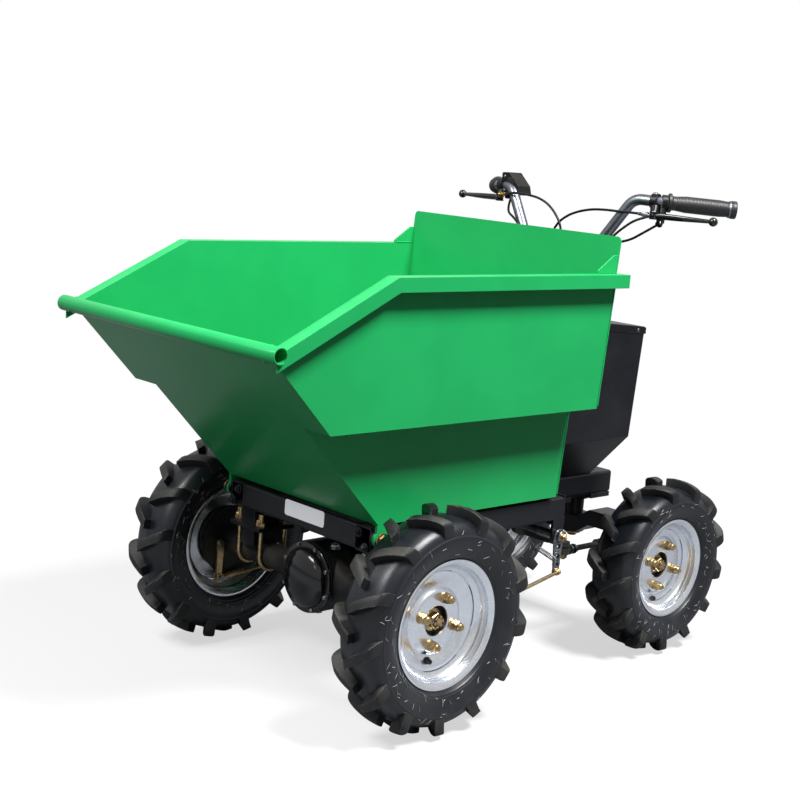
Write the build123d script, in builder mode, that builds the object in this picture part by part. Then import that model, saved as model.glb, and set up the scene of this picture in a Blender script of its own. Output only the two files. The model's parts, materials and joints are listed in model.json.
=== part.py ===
"""Site dumper: a four-wheeled electric walk-behind machine with a tub that tips over its front hinges.

Millimetres. The machine's front faces -Y, +X is its left side, +Z is up and the wheels stand on Z = 0.
The origin lies on the ground under the middle of the overall length, on the symmetry plane.
Lengths named AHEAD or BEHIND are measured along Y from the front axle.
"""
from build123d import *
import os
from math import atan, cos, degrees, hypot, pi, radians, sin, sqrt, tan

os.makedirs("parts", exist_ok=True)

SIDES = {"left": 1, "right": -1}

# ---- running gear ----
WHEELBASE = 724.0
FRONT_TRACK = 604.0
REAR_TRACK = 464.0
FRONT_TYRE_R = 203.0
REAR_TYRE_R = 182.0
FRONT_RIM_R = 116.0
REAR_RIM_R = 103.0
TYRE_HALF_WIDTH = 52.0
LUG_DEPTH = 17.0
LUG_COUNT = 13
LUG_DRAFT = 0.14
LUG_ROOT = 7.0
CARCASS_SIDES = 20
RIM_HALF_WIDTH = 38.0
RIM_SHEET = 4.0
DISC_INSET = 28.0
DISC_STEP = 8.0
HUB_HOLE_R = 27.0
HUB_RECESS = 10.0
HUB_FLANGE_R = 54.0
STUD_CIRCLE_R = 43.0
STUD_COUNT = 4
STUD_START = -17.6
STUD_NUT_R = 9.5
STUD_NUT_LENGTH = 18.0
AXLE_NUT_R = 15.0
AXLE_NUT_LENGTH = 22.0
VALVE_HOLE_R = 6.0
VALVE_CIRCLE_R = 72.0

# ---- front drive axle ----
AXLE_TUBE_R = 25.0
DIFF_RING_R = 68.0
DIFF_HALF_DEPTH = 30.0
DIFF_NECK_HALF = 118.0
DIFF_NECK_INNER = 44.0
DIFF_NECK_WAIST = 80.0
COVER_FLANGE = 6.0
DOME_R = 57.0
DOME_BULGE = 32.0
MOTOR_R = 62.0
MOTOR_LENGTH = 165.0
MOTOR_ADAPTER = 26.0
DRUM_R = 66.0
DRUM_WIDTH = 26.0
BACKPLATE_R = 72.0
BACKPLATE_THICK = 4.0
BRAKE_LEVER_DROP = 70.0
BRAKE_LEVER_AHEAD = 40.0
BRAKE_LEVER_R = 8.0
BRAKE_LEVER_EYE_R = 6.0
BRAKE_LEVER_THICK = 6.0
BRAKE_ROD_R = 3.5

# ---- chassis ----
RAIL_OUTER = 200.0
RAIL_WIDTH = 40.0
RAIL_HEIGHT = 46.0
RAIL_TOP = 348.0
TUBE_WALL = 3.0
TUBE_CORNER_R = 6.0
FRAME_AHEAD = 65.0
FRAME_BEHIND = 445.0
CROSS_DEPTH = 50.0
END_PLATE_DROP = 16.0
END_PLATE_THICK = 4.0
SHAFT_INSET = 10.0
SHAFT_Z = 272.0
TAB_THICK = 6.0
TAB_R = 16.0
BRAKE_SHAFT_R = 8.0
CRANK_DROP = 72.0
CRANK_R = 14.0
CRANK_EYE_R = 8.0
CRANK_THICK = 6.0
CRANK_BOSS = 14.0
REST_PAD_INSET = 80.0
REST_PAD_R = 15.0
SPINE_OUTER = 80.0
SPINE_WIDTH = 50.0
SPINE_OVERHANG = 14.0
KING_PLATE_THICK = 10.0
KING_PLATE_HALF = 46.0
KING_SOCKET_R = 30.0
KING_SOCKET_DROP = 17.0
KINGPIN_R = 20.0
KING_TOP = 338.0
MOUNT_PAD_THICK = 8.0
MOUNT_PAD_HALF = 44.0
U_BOLT_R = 4.0
U_BOLT_SPREAD = 33.0
U_BOLT_STANDOUT = 24.0

# ---- tub ----
SHEET = 3.0
TUB_HALF = 278.0
CHEST_HALF = 212.0
FLOOR_Z = 356.0
LEDGE_Z = 541.0
RIM_Z = 797.0
BOARD_Z = 865.0
FLOOR_AHEAD = 61.0
FLOOR_BEHIND = 405.0
BACK_LEAN = 0.078
LIP_AHEAD = 380.0
LIP_Z = 681.0
LIP_R = 14.0
LIP_WALL = 2.5
LIP_HALF = 310.0
RIM_BREAK_AHEAD = 141.0
RIM_FLANGE = 25.0
RIM_OVERRUN = 10.0
BOARD_CORNER_R = 9.0
GUSSET_LENGTH = 52.0
GUSSET_HEIGHT = 34.0
HINGE_AHEAD = 55.0
HINGE_Z = 330.0
HINGE_PIN_R = 6.0
HINGE_EAR_THICK = 6.0
HINGE_EAR_R = 14.0
HINGE_EAR_LENGTH = 46.0

# ---- battery case ----
CASE_HALF = 140.0
CASE_FOOT_HALF = 78.0
CASE_FOOT_Z = 348.0
CASE_FOLD_Z = 437.0
CASE_TOP_FRONT_Z = 692.0
CASE_TOP_REAR_Z = 668.0
CASE_GAP = 15.0
CASE_LENGTH = 280.0
CASE_FOOT_INSET = 30.0
CASE_SHEET = 3.0
TUNNEL_R = 24.0
BATTERY_WIDTH = 109.0
BATTERY_LENGTH = 180.0
BATTERY_SETBACK = 63.682  # from the case's front fold to the front of the batteries
BATTERY_HEAD = 31.0

# ---- steering ----
COLUMN_AHEAD = 144.0
COLUMN_R = 17.0
COLUMN_FOOT_Z = 216.0
BAR_ABOVE_CASE = 46.0
BAR_RISE = 194.0
BAR_R = 11.0
CABLE_R = 2.5
CABLE_BEND = 0.45
COLLAR_R = 32.0
COLLAR_HEIGHT = 12.0
BEARING_GAP = 0.3
STEER_ARM = 100.0
STEER_ARM_WIDTH = 24.0
STEER_ARM_THICK = 10.0
LINK_Z = 196.0
LINK_R = 6.0
LINK_EYE_R = 12.0
LINK_PIN_R = 5.0
BAR_CLAMP_HALF = 28.0
BAR_CLAMP_HEIGHT = 44.0
GRIP_START = 20.0
GRIP_LENGTH = 134.0
GRIP_FLANGE_R = 19.0
PERCH_R = 16.0
PERCH_HALF = 7.0
PERCH_ARM_R = 9.0
PIVOT_GAP = 9.4
BLADE_BALL_R = 9.0
SWITCH_RING_R = 15.0
SWITCH_KNOB_R = 8.0

# ---- rear axle ----
BEAM_DEPTH = 60.0
BEAM_THICK = 34.0
BEAM_TOP = 262.0
BEAM_DIP = 22.0
BEAM_DIP_HALF = 34.0
BEAM_SLOPE_HALF = 66.0
BEAM_HALF = 156.0
BEAM_BEND_R = 10.0
KNUCKLE_THICK = 12.0
STUB_R = 15.0
STUB_SHORT = 18.0
BRAKE_GAP = 5.0

PIN_CLEARANCE = 0.1
SEAT_GAP = 0.3

# ---- places worked out from the sizes ----
FRONT_Y = (LIP_AHEAD + LIP_R - WHEELBASE - REAR_TYRE_R) / 2
REAR_Y = FRONT_Y + WHEELBASE
FRONT_X = FRONT_TRACK / 2
REAR_X = REAR_TRACK / 2
COLUMN_Y = REAR_Y - COLUMN_AHEAD
HINGE_Y = FRONT_Y - HINGE_AHEAD
RAIL_FLOOR = RAIL_TOP - RAIL_HEIGHT
RAIL_INNER = RAIL_OUTER - RAIL_WIDTH
FRAME_FRONT = FRONT_Y - FRAME_AHEAD
FRAME_REAR = FRONT_Y + FRAME_BEHIND
SPINE_END = REAR_Y + SPINE_OVERHANG
BEAM_CENTRE_TOP = BEAM_TOP - BEAM_DIP
BAR_CENTRE_Z = CASE_TOP_FRONT_Z + BAR_ABOVE_CASE
BAR_SCALE = BAR_RISE / 194
BATTERY_HEIGHT = CASE_TOP_REAR_Z - CASE_FOLD_Z - BATTERY_HEAD


def back_y(z):
    """Y of the tub's outer back face at height z: the back wall leans away from the floor's rear edge."""
    return FRONT_Y + FLOOR_BEHIND + BACK_LEAN * (z - FLOOR_Z)


def case_front_y(z):
    """Y of the battery case's front face at height z, parallel with the tub's back wall."""
    return back_y(z) + CASE_GAP


def keep(piece, label):
    """Label a finished piece and write it as its own STEP file."""
    piece.part.label = label
    export_step(piece.part, f"parts/{label}.step")


def radial_plane(x, y, z, side):
    """Plane through a wheel's axis: local X is radial (up), local Y points outwards along the axle."""
    return Plane(origin=(side * x, y, z), x_dir=(0, 0, 1), z_dir=(0, side, 0))


def wheel_plane(x, y, z, side):
    """Plane square to a wheel's axis, with its normal pointing outwards."""
    return Plane(origin=(side * x, y, z), x_dir=(0, side, 0), z_dir=(side, 0, 0))


# ---------------------------------------------------------------- wheels
# axle name: (distance from the middle, Y, tyre radius, rim radius, drum radius)
WHEELS = {
    "front": (FRONT_X, FRONT_Y, FRONT_TYRE_R, FRONT_RIM_R, DRUM_R),
    "rear": (REAR_X, REAR_Y, REAR_TYRE_R, REAR_RIM_R, DRUM_R - 20),
}


# carcass from the tread to the bead: (share of the half width, share of the section height)
CARCASS = ((0.44, 1.0), (1.0, 0.60), (0.65, 0.03))
# a lug from the tread's middle to its shoulder:
# (share of the half width, distance along the tread, half width of its top, drop of its top)
LUG_SECTIONS = ((-0.10, -23.0, 8.5, 0.0), (0.99, 17.0, 12.0, 10.0))


def carcass_radius(share, radius, rim_r):
    """Radius of the carcass at a share of the tyre's half width, between the stations of the table."""
    height = radius - LUG_DEPTH - rim_r
    stations = ((0.0, 1.0), *CARCASS[:2])
    for (near, high), (far, low) in zip(stations, stations[1:]):
        if share <= far:
            return rim_r + height * (high + (low - high) * (share - near) / (far - near))
    return rim_r + height * CARCASS[1][1]


def build_tyre(x, y, radius, rim_r):
    """Left tyre: a carcass of flats like the moulded one's, with two rows of lugs half a pitch apart."""
    axis = Axis((x, y, radius), (1, 0, 0))
    height = radius - LUG_DEPTH - rim_r
    lugs = []
    for row, half in enumerate((1, -1)):
        outlines = []
        for across, along, half_top, drop in LUG_SECTIONS:
            root_r = carcass_radius(abs(across), radius, rim_r) - LUG_ROOT
            root = sqrt(root_r**2 - along**2)
            top = sqrt((radius - drop) ** 2 - along**2) - abs(along) * half_top / radius
            half_foot = half_top + LUG_DRAFT * (top - root)
            lug_x = x + half * across * TYRE_HALF_WIDTH
            corners = ((-half_foot, root), (half_foot, root), (half_top, top), (-half_top, top))
            points = [Vector(lug_x, y + along + a, radius + b) for a, b in corners]
            outlines.append(Wire.make_polygon(points))
        lug = Solid.make_loft(outlines, ruled=True)
        for index in range(LUG_COUNT):
            turn = (index + row / 2) * 360 / LUG_COUNT + 180
            lugs.append(lug.rotate(axis, turn))
    with BuildPart() as tyre:
        outlines = []
        stations = [(-share, level) for share, level in reversed(CARCASS)] + list(CARCASS)
        for share, level in stations:
            with BuildSketch(wheel_plane(x + share * TYRE_HALF_WIDTH, y, radius, 1)) as outline:
                RegularPolygon(rim_r + level * height, CARCASS_SIDES)
            outlines.append(outline.sketch)
        loft(outlines, ruled=True)
        add(lugs)
        bore_x = x - TYRE_HALF_WIDTH
        with BuildSketch(wheel_plane(bore_x, y, radius, 1)) as bead:
            RegularPolygon(rim_r - 8 + SEAT_GAP, CARCASS_SIDES, major_radius=False)
        extrude(bead.sketch, amount=2 * TYRE_HALF_WIDTH, mode=Mode.SUBTRACT)
    return tyre


def build_rim(x, y, radius, rim_r, side):
    """Pressed steel rim: two flanges, a dropped centre and a dished disc with a raised ring of studs."""
    seat = rim_r - 8
    well = rim_r - 22
    edge = RIM_HALF_WIDTH
    disc = edge - DISC_INSET - RIM_SHEET
    with BuildPart() as rim:
        with BuildSketch(radial_plane(x, y, radius, side)):
            with BuildLine():
                Polyline(
                    (rim_r, edge), (rim_r, edge - RIM_SHEET), (seat, edge - RIM_SHEET), (seat, 14),
                    (well, 8), (well, -8), (seat, -14), (seat, -edge + RIM_SHEET),
                    (rim_r, -edge + RIM_SHEET), (rim_r, -edge), (seat - RIM_SHEET, -edge),
                    (seat - RIM_SHEET, -17), (well - RIM_SHEET, -11), (well - RIM_SHEET, 11),
                    (seat - RIM_SHEET, 17), (seat - RIM_SHEET, edge), close=True,
                )
            make_face()
            with BuildLine():
                edge_r = well - RIM_SHEET / 2
                Polyline(
                    (edge_r, disc), (edge_r - 12, disc), (HUB_FLANGE_R + 8, disc - DISC_STEP),
                    (HUB_FLANGE_R + 2, disc), (HUB_HOLE_R, disc), (HUB_HOLE_R, disc + RIM_SHEET),
                    (HUB_FLANGE_R + 4, disc + RIM_SHEET), (HUB_FLANGE_R + 10, disc - DISC_STEP + RIM_SHEET),
                    (edge_r - 13, disc + RIM_SHEET), (edge_r, disc + RIM_SHEET), close=True,
                )
            make_face()
        revolve(axis=Axis((side * x, y, radius), (side, 0, 0)))
        with BuildSketch(wheel_plane(x + disc - DISC_STEP, y, radius, side)):
            with Locations((0, -VALVE_CIRCLE_R * rim_r / FRONT_RIM_R)):
                Circle(VALVE_HOLE_R)
        extrude(amount=RIM_SHEET + DISC_STEP, mode=Mode.SUBTRACT)
    return rim


def build_hub(x, y, radius, side, inner_x, drum_r):
    """Hub with its drum behind the disc, four studs with long nuts and the axle's castle nut."""
    face = x + RIM_HALF_WIDTH - DISC_INSET - RIM_SHEET
    with BuildPart() as hub:
        with BuildSketch(wheel_plane(inner_x, y, radius, side)):
            Circle(drum_r)
        extrude(amount=DRUM_WIDTH)
        with BuildSketch(wheel_plane(inner_x, y, radius, side)):
            Circle(HUB_FLANGE_R)
        extrude(amount=face - inner_x)
        with BuildSketch(wheel_plane(face - HUB_RECESS, y, radius, side)):
            Circle(HUB_HOLE_R - 1)
        extrude(amount=HUB_RECESS, mode=Mode.SUBTRACT)
        with BuildSketch(wheel_plane(face - HUB_RECESS, y, radius, side)):
            RegularPolygon(AXLE_NUT_R, 6)
        extrude(amount=AXLE_NUT_LENGTH)
        with BuildSketch(wheel_plane(face + RIM_SHEET, y, radius, side)):
            with PolarLocations(STUD_CIRCLE_R, STUD_COUNT, start_angle=STUD_START):
                RegularPolygon(STUD_NUT_R, 6)
        extrude(amount=STUD_NUT_LENGTH)
        with BuildSketch(wheel_plane(inner_x, y, radius, side)):
            Circle(STUB_R + PIN_CLEARANCE)
        extrude(amount=face - STUB_SHORT - inner_x + PIN_CLEARANCE, mode=Mode.SUBTRACT)
    return hub


def stub_end(x):
    """How far out a stub axle reaches inside the hub of a wheel standing at x."""
    return x + RIM_HALF_WIDTH - DISC_INSET - RIM_SHEET - STUB_SHORT


for axle, (wheel_x, wheel_y, tyre_r, rim_radius, drum_r) in WHEELS.items():
    left_tyre = build_tyre(wheel_x, wheel_y, tyre_r, rim_radius)
    for side_name, side in SIDES.items():
        with BuildPart() as tyre:
            add(left_tyre.part if side > 0 else mirror(left_tyre.part, about=Plane.YZ))
        keep(tyre, f"{axle}_tyre_{side_name}")
        keep(build_rim(wheel_x, wheel_y, tyre_r, rim_radius, side), f"{axle}_rim_{side_name}")
        drum_x = wheel_x - RIM_HALF_WIDTH + BACKPLATE_THICK + BRAKE_GAP
        hub = build_hub(wheel_x, wheel_y, tyre_r, side, drum_x, drum_r)
        keep(hub, f"{axle}_hub_{side_name}")


# ---------------------------------------------------------------- front axle
with BuildPart() as axle_housing:
    housing_end = FRONT_X - RIM_HALF_WIDTH + BACKPLATE_THICK
    for half_length, radius in ((housing_end, AXLE_TUBE_R), (stub_end(FRONT_X), STUB_R)):
        with BuildSketch(wheel_plane(-half_length, FRONT_Y, FRONT_TYRE_R, 1)):
            Circle(radius)
        extrude(amount=2 * half_length)
    # a neck on each side flares from the tube to the ring, as tall as the ring is at that distance
    for side in SIDES.values():
        outlines = []
        neck_z = sqrt(DIFF_RING_R**2 - DIFF_NECK_INNER**2) - 2
        waist_z = AXLE_TUBE_R + (neck_z - AXLE_TUBE_R) * 0.28
        flares = (
            (DIFF_NECK_HALF, AXLE_TUBE_R + 0.5, AXLE_TUBE_R + 0.5),
            (DIFF_NECK_WAIST, AXLE_TUBE_R + 1.5, waist_z),
            (DIFF_NECK_INNER, DIFF_HALF_DEPTH - 2, neck_z),
        )
        for neck_x, half_y, half_z in flares:
            with BuildSketch(wheel_plane(neck_x, FRONT_Y, FRONT_TYRE_R, side)) as outline:
                Ellipse(half_y, half_z)
            outlines.append(outline.sketch)
        loft(outlines)
    with BuildSketch(Plane(origin=(0, FRONT_Y - DIFF_HALF_DEPTH, FRONT_TYRE_R), z_dir=(0, 1, 0))) as ring:
        Circle(DIFF_RING_R)
    extrude(ring.sketch, amount=2 * DIFF_HALF_DEPTH)
keep(axle_housing, "axle_housing")

# the cover is a spherical cap standing on a bolting flange
CAP_RISE = DOME_BULGE - COVER_FLANGE
CAP_SPHERE_R = (DOME_R**2 + CAP_RISE**2) / (2 * CAP_RISE)
with BuildPart() as diff_cover:
    cover_foot = (0, FRONT_Y - DIFF_HALF_DEPTH, FRONT_TYRE_R)
    with BuildSketch(Plane(origin=cover_foot, x_dir=(1, 0, 0), z_dir=(0, 0, -1))):
        with BuildLine():
            flange_r = DIFF_RING_R - 1
            flange_edge = [(flange_r, 0), (flange_r, COVER_FLANGE)]
            Polyline((0, DOME_BULGE), (0, 0), *flange_edge, (DOME_R, COVER_FLANGE))
            RadiusArc((DOME_R, COVER_FLANGE), (0, DOME_BULGE), -CAP_SPHERE_R)
        make_face()
    revolve(axis=Axis((0, FRONT_Y, FRONT_TYRE_R), (0, 1, 0)))
keep(diff_cover, "diff_cover")

with BuildPart() as drive_motor:
    with BuildSketch(Plane(origin=(0, FRONT_Y + DIFF_HALF_DEPTH, FRONT_TYRE_R), z_dir=(0, 1, 0))):
        Circle(MOTOR_R * 0.8)
    extrude(amount=MOTOR_ADAPTER)
    motor_foot = FRONT_Y + DIFF_HALF_DEPTH + MOTOR_ADAPTER
    with BuildSketch(Plane(origin=(0, motor_foot, FRONT_TYRE_R), z_dir=(0, 1, 0))):
        Circle(MOTOR_R)
    extrude(amount=MOTOR_LENGTH)
    chamfer(drive_motor.edges().filter_by(GeomType.CIRCLE).group_by(Axis.Y)[-1], 5)
keep(drive_motor, "drive_motor")

BACKPLATE_X = FRONT_X - RIM_HALF_WIDTH + BACKPLATE_THICK
LEVER_X = BACKPLATE_X - BACKPLATE_THICK - BRAKE_LEVER_THICK - 2
with BuildPart() as brake_backplates:
    for side in SIDES.values():
        with BuildSketch(wheel_plane(BACKPLATE_X - BACKPLATE_THICK, FRONT_Y, FRONT_TYRE_R, side)):
            Circle(BACKPLATE_R)
            Circle(AXLE_TUBE_R, mode=Mode.SUBTRACT)
        extrude(amount=BACKPLATE_THICK)
keep(brake_backplates, "brake_backplates")

# the mid axle pad between rail and axle tube, the U-bolts round the tube on both sides of the rail
PAD_X = (RAIL_OUTER + RAIL_INNER) / 2
PAD_TOP = FRONT_TYRE_R + AXLE_TUBE_R + 34
with BuildPart() as axle_mounts:
    for side in SIDES.values():
        with BuildSketch(Plane(origin=(side * PAD_X, FRONT_Y, FRONT_TYRE_R + AXLE_TUBE_R - 8))):
            Rectangle(RAIL_WIDTH, 2 * MOUNT_PAD_HALF - 16)
        extrude(amount=RAIL_FLOOR - (FRONT_TYRE_R + AXLE_TUBE_R - 8))
        with BuildSketch(wheel_plane(0, FRONT_Y, FRONT_TYRE_R, 1)):
            Circle(AXLE_TUBE_R)
        extrude(amount=FRONT_X, both=True, mode=Mode.SUBTRACT)
        with BuildSketch(Plane(origin=(side * PAD_X, FRONT_Y, PAD_TOP - MOUNT_PAD_THICK))):
            Rectangle(2 * U_BOLT_SPREAD + 24, 2 * MOUNT_PAD_HALF)
            with GridLocations(2 * U_BOLT_SPREAD, 2 * (AXLE_TUBE_R + U_BOLT_R), 2, 2):
                Circle(U_BOLT_R + 0.6, mode=Mode.SUBTRACT)
        extrude(amount=MOUNT_PAD_THICK)
keep(axle_mounts, "axle_mounts")

with BuildPart() as u_bolts:
    for side in SIDES.values():
        for offset in (-U_BOLT_SPREAD, U_BOLT_SPREAD):
            bolt_x = side * PAD_X + offset
            bend_r = AXLE_TUBE_R + U_BOLT_R
            top = PAD_TOP - FRONT_TYRE_R + U_BOLT_STANDOUT
            bolt_plane = Plane(origin=(bolt_x, FRONT_Y, FRONT_TYRE_R), x_dir=(0, 1, 0), z_dir=(1, 0, 0))
            with BuildLine(bolt_plane) as route:
                Line((-bend_r, top), (-bend_r, 0))
                ThreePointArc((-bend_r, 0), (0, -bend_r), (bend_r, 0))
                Line((bend_r, 0), (bend_r, top))
            bolt_end = (bolt_x, FRONT_Y - bend_r, PAD_TOP + U_BOLT_STANDOUT)
            with BuildSketch(Plane(origin=bolt_end, z_dir=(0, 0, -1))):
                Circle(U_BOLT_R)
            sweep(path=route.wires()[0])
            with BuildSketch(Plane(origin=(bolt_x, FRONT_Y, PAD_TOP))):
                with GridLocations(1, 2 * bend_r, 1, 2):
                    RegularPolygon(2 * U_BOLT_R, 6)
            extrude(amount=2 * U_BOLT_R)
keep(u_bolts, "u_bolts")


# ---------------------------------------------------------------- chassis
def box_between(low, high):
    """Box from its lowest to its highest corner, added to the open part."""
    centre = [(a + b) / 2 for a, b in zip(low, high)]
    with BuildSketch(Plane(origin=(centre[0], centre[1], low[2]))) as sketch:
        Rectangle(high[0] - low[0], high[1] - low[1])
    extrude(sketch.sketch, amount=high[2] - low[2])


def flat_lever(x, y, z, drop, radius, eye_r, thick, side):
    """Flat lever hanging from (x, y, z): the hull of its boss and its smaller eye, square to X."""
    with BuildSketch(wheel_plane(x, y, z, side)) as outline:
        Circle(radius)
        with Locations((0, -drop)):
            Circle(eye_r)
        make_hull()
    extrude(outline.sketch, amount=thick)


def round_bar(start, end, radius, mode=Mode.ADD):
    """Round bar from one point to another, added to the open part or cut from it."""
    axis = Vector(*end) - Vector(*start)
    with BuildSketch(Plane(origin=start, z_dir=axis.normalized())) as outline:
        Circle(radius)
    extrude(outline.sketch, amount=axis.length, mode=mode)


def section_along_y(x_mid, width, y_start, y_end):
    """Rectangular tube of the frame's height along Y, with open ends."""
    mid_z = (RAIL_TOP + RAIL_FLOOR) / 2
    with BuildSketch(Plane(origin=(x_mid, y_start, mid_z), x_dir=(1, 0, 0), z_dir=(0, 1, 0))) as sketch:
        RectangleRounded(width, RAIL_HEIGHT, TUBE_CORNER_R)
        hollow = (width - 2 * TUBE_WALL, RAIL_HEIGHT - 2 * TUBE_WALL)
        RectangleRounded(*hollow, TUBE_CORNER_R - TUBE_WALL, mode=Mode.SUBTRACT)
    extrude(sketch.sketch, amount=y_end - y_start)


def section_along_x(y_mid, depth, half_length):
    """Rectangular tube of the frame's height along X, centred on the symmetry plane."""
    mid_z = (RAIL_TOP + RAIL_FLOOR) / 2
    with BuildSketch(Plane(origin=(-half_length, y_mid, mid_z), x_dir=(0, 1, 0), z_dir=(1, 0, 0))) as sketch:
        RectangleRounded(depth, RAIL_HEIGHT, TUBE_CORNER_R)
        hollow = (depth - 2 * TUBE_WALL, RAIL_HEIGHT - 2 * TUBE_WALL)
        RectangleRounded(*hollow, TUBE_CORNER_R - TUBE_WALL, mode=Mode.SUBTRACT)
    extrude(sketch.sketch, amount=2 * half_length)


SHAFT_Y = FRAME_REAR - SHAFT_INSET
for side_name, side in SIDES.items():
    with BuildPart() as side_rail:
        section_along_y(side * PAD_X, RAIL_WIDTH, FRAME_FRONT, FRAME_REAR)
        plate_low = (side * PAD_X - RAIL_WIDTH / 2, FRAME_REAR, RAIL_FLOOR - END_PLATE_DROP)
        plate_high = (side * PAD_X + RAIL_WIDTH / 2, FRAME_REAR + END_PLATE_THICK, RAIL_TOP + 3)
        box_between(plate_low, plate_high)
        with BuildSketch(wheel_plane(RAIL_OUTER - TAB_THICK, SHAFT_Y, SHAFT_Z, side)) as tab:
            Circle(TAB_R)
            tab_height = RAIL_FLOOR + TUBE_CORNER_R - SHAFT_Z
            with Locations((0, tab_height / 2)):
                Rectangle(2 * TAB_R, tab_height)
            Circle(BRAKE_SHAFT_R + PIN_CLEARANCE, mode=Mode.SUBTRACT)
        extrude(tab.sketch, amount=TAB_THICK)
        pin_foot = (side * RAIL_OUTER, HINGE_Y, HINGE_Z)
        boss_x = CHEST_HALF - HINGE_EAR_THICK - SEAT_GAP
        round_bar(pin_foot, (side * boss_x, HINGE_Y, HINGE_Z), HINGE_EAR_R)
        round_bar(pin_foot, (side * (CHEST_HALF + HINGE_PIN_R), HINGE_Y, HINGE_Z), HINGE_PIN_R)
    keep(side_rail, f"side_rail_{side_name}")

with BuildPart() as front_cross_member:
    section_along_x(FRAME_FRONT + CROSS_DEPTH / 2, CROSS_DEPTH, RAIL_INNER)
keep(front_cross_member, "front_cross_member")

with BuildPart() as rear_cross_member:
    section_along_x(FRAME_REAR - CROSS_DEPTH / 2, CROSS_DEPTH, RAIL_INNER)
keep(rear_cross_member, "rear_cross_member")

with BuildPart() as spine_frame:
    for side in SIDES.values():
        spine_mid = side * (SPINE_OUTER - SPINE_WIDTH / 2)
        section_along_y(spine_mid, SPINE_WIDTH, FRAME_REAR, SPINE_END)
keep(spine_frame, "spine_frame")

with BuildPart() as king_plate:
    plate_top = RAIL_FLOOR
    plate_low = plate_top - KING_PLATE_THICK
    box_between((-SPINE_OUTER, REAR_Y - KING_PLATE_HALF, plate_low), (SPINE_OUTER, SPINE_END, plate_top))
    socket_plane = Plane(origin=(0, REAR_Y, plate_low - KING_SOCKET_DROP))
    with BuildSketch(socket_plane) as socket:
        Circle(KING_SOCKET_R)
    extrude(socket.sketch, amount=RAIL_HEIGHT + KING_PLATE_THICK + KING_SOCKET_DROP)
    with BuildSketch(socket_plane) as socket_bore:
        Circle(KINGPIN_R + PIN_CLEARANCE)
    extrude(socket_bore.sketch, amount=RAIL_HEIGHT + KING_SOCKET_DROP, mode=Mode.SUBTRACT)
keep(king_plate, "king_plate")

with BuildPart() as column_bearing:
    bearing_low = RAIL_FLOOR - KING_PLATE_THICK
    bearing_front, bearing_rear = COLUMN_Y - COLLAR_R, COLUMN_Y + COLLAR_R
    box_between((-SPINE_OUTER, bearing_front, bearing_low), (SPINE_OUTER, bearing_rear, RAIL_FLOOR))
    with BuildSketch(Plane(origin=(0, COLUMN_Y, RAIL_FLOOR - KING_PLATE_THICK))) as bearing_bore:
        Circle(COLUMN_R + PIN_CLEARANCE)
    extrude(bearing_bore.sketch, amount=KING_PLATE_THICK, mode=Mode.SUBTRACT)
keep(column_bearing, "column_bearing")

with BuildPart() as rest_pads:
    for side in SIDES.values():
        for pad_y in (FRAME_FRONT + REST_PAD_INSET, FRAME_REAR - REST_PAD_INSET):
            with BuildSketch(Plane(origin=(side * PAD_X, pad_y, RAIL_TOP))) as pad:
                Circle(REST_PAD_R)
            extrude(pad.sketch, amount=FLOOR_Z - RAIL_TOP - SEAT_GAP)
keep(rest_pads, "rest_pads")


# ---------------------------------------------------------------- brake linkage
# each drum's lever hangs inboard of its back plate, a rod joins its foot to a crank on the cross shaft
LEVER_TOP = (LEVER_X, FRONT_Y - BRAKE_LEVER_AHEAD, FRONT_TYRE_R)
LEVER_FOOT = (LEVER_X, FRONT_Y - BRAKE_LEVER_AHEAD, FRONT_TYRE_R - BRAKE_LEVER_DROP)
CRANK_X = RAIL_OUTER + CRANK_THICK / 2
CRANK_FOOT = (CRANK_X, SHAFT_Y, SHAFT_Z - CRANK_DROP)


with BuildPart() as brake_levers:
    for side in SIDES.values():
        flat_lever(*LEVER_TOP, BRAKE_LEVER_DROP, BRAKE_LEVER_R, BRAKE_LEVER_EYE_R, BRAKE_LEVER_THICK, side)
        cam_inner = (side * (LEVER_X + BRAKE_LEVER_THICK), LEVER_TOP[1], LEVER_TOP[2])
        cam_outer = (side * (BACKPLATE_X - BACKPLATE_THICK), LEVER_TOP[1], LEVER_TOP[2])
        round_bar(cam_inner, cam_outer, BRAKE_LEVER_EYE_R)
keep(brake_levers, "brake_levers")

with BuildPart() as brake_shaft:
    round_bar((-RAIL_OUTER, SHAFT_Y, SHAFT_Z), (RAIL_OUTER, SHAFT_Y, SHAFT_Z), BRAKE_SHAFT_R)
keep(brake_shaft, "brake_shaft")

with BuildPart() as brake_cranks:
    for side in SIDES.values():
        flat_lever(RAIL_OUTER, SHAFT_Y, SHAFT_Z, CRANK_DROP, CRANK_R, CRANK_EYE_R, CRANK_THICK, side)
        crank_boss = (side * RAIL_OUTER, SHAFT_Y, SHAFT_Z)
        round_bar(crank_boss, (side * (RAIL_OUTER + CRANK_BOSS), SHAFT_Y, SHAFT_Z), BRAKE_SHAFT_R + 4)
keep(brake_cranks, "brake_cranks")

with BuildPart() as brake_rods:
    for side in SIDES.values():
        rod_front = (side * (LEVER_FOOT[0] - BRAKE_ROD_R), LEVER_FOOT[1], LEVER_FOOT[2])
        rod_rear = (side * (CRANK_FOOT[0] + CRANK_THICK / 2 + BRAKE_ROD_R), CRANK_FOOT[1], CRANK_FOOT[2])
        round_bar(rod_front, rod_rear, BRAKE_ROD_R)
keep(brake_rods, "brake_rods")


# ---------------------------------------------------------------- tub
LIP_Y = FRONT_Y - LIP_AHEAD
RIM_BREAK_Y = FRONT_Y - RIM_BREAK_AHEAD


def front_y(z, inset=0):
    """Y of the tub's sloping front plate at height z, or of the plane parallel with it further in."""
    slope = (FLOOR_AHEAD - LIP_AHEAD) / (LIP_Z - FLOOR_Z)
    return FRONT_Y - FLOOR_AHEAD + slope * (z - FLOOR_Z) + inset * hypot(1, slope)


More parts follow.
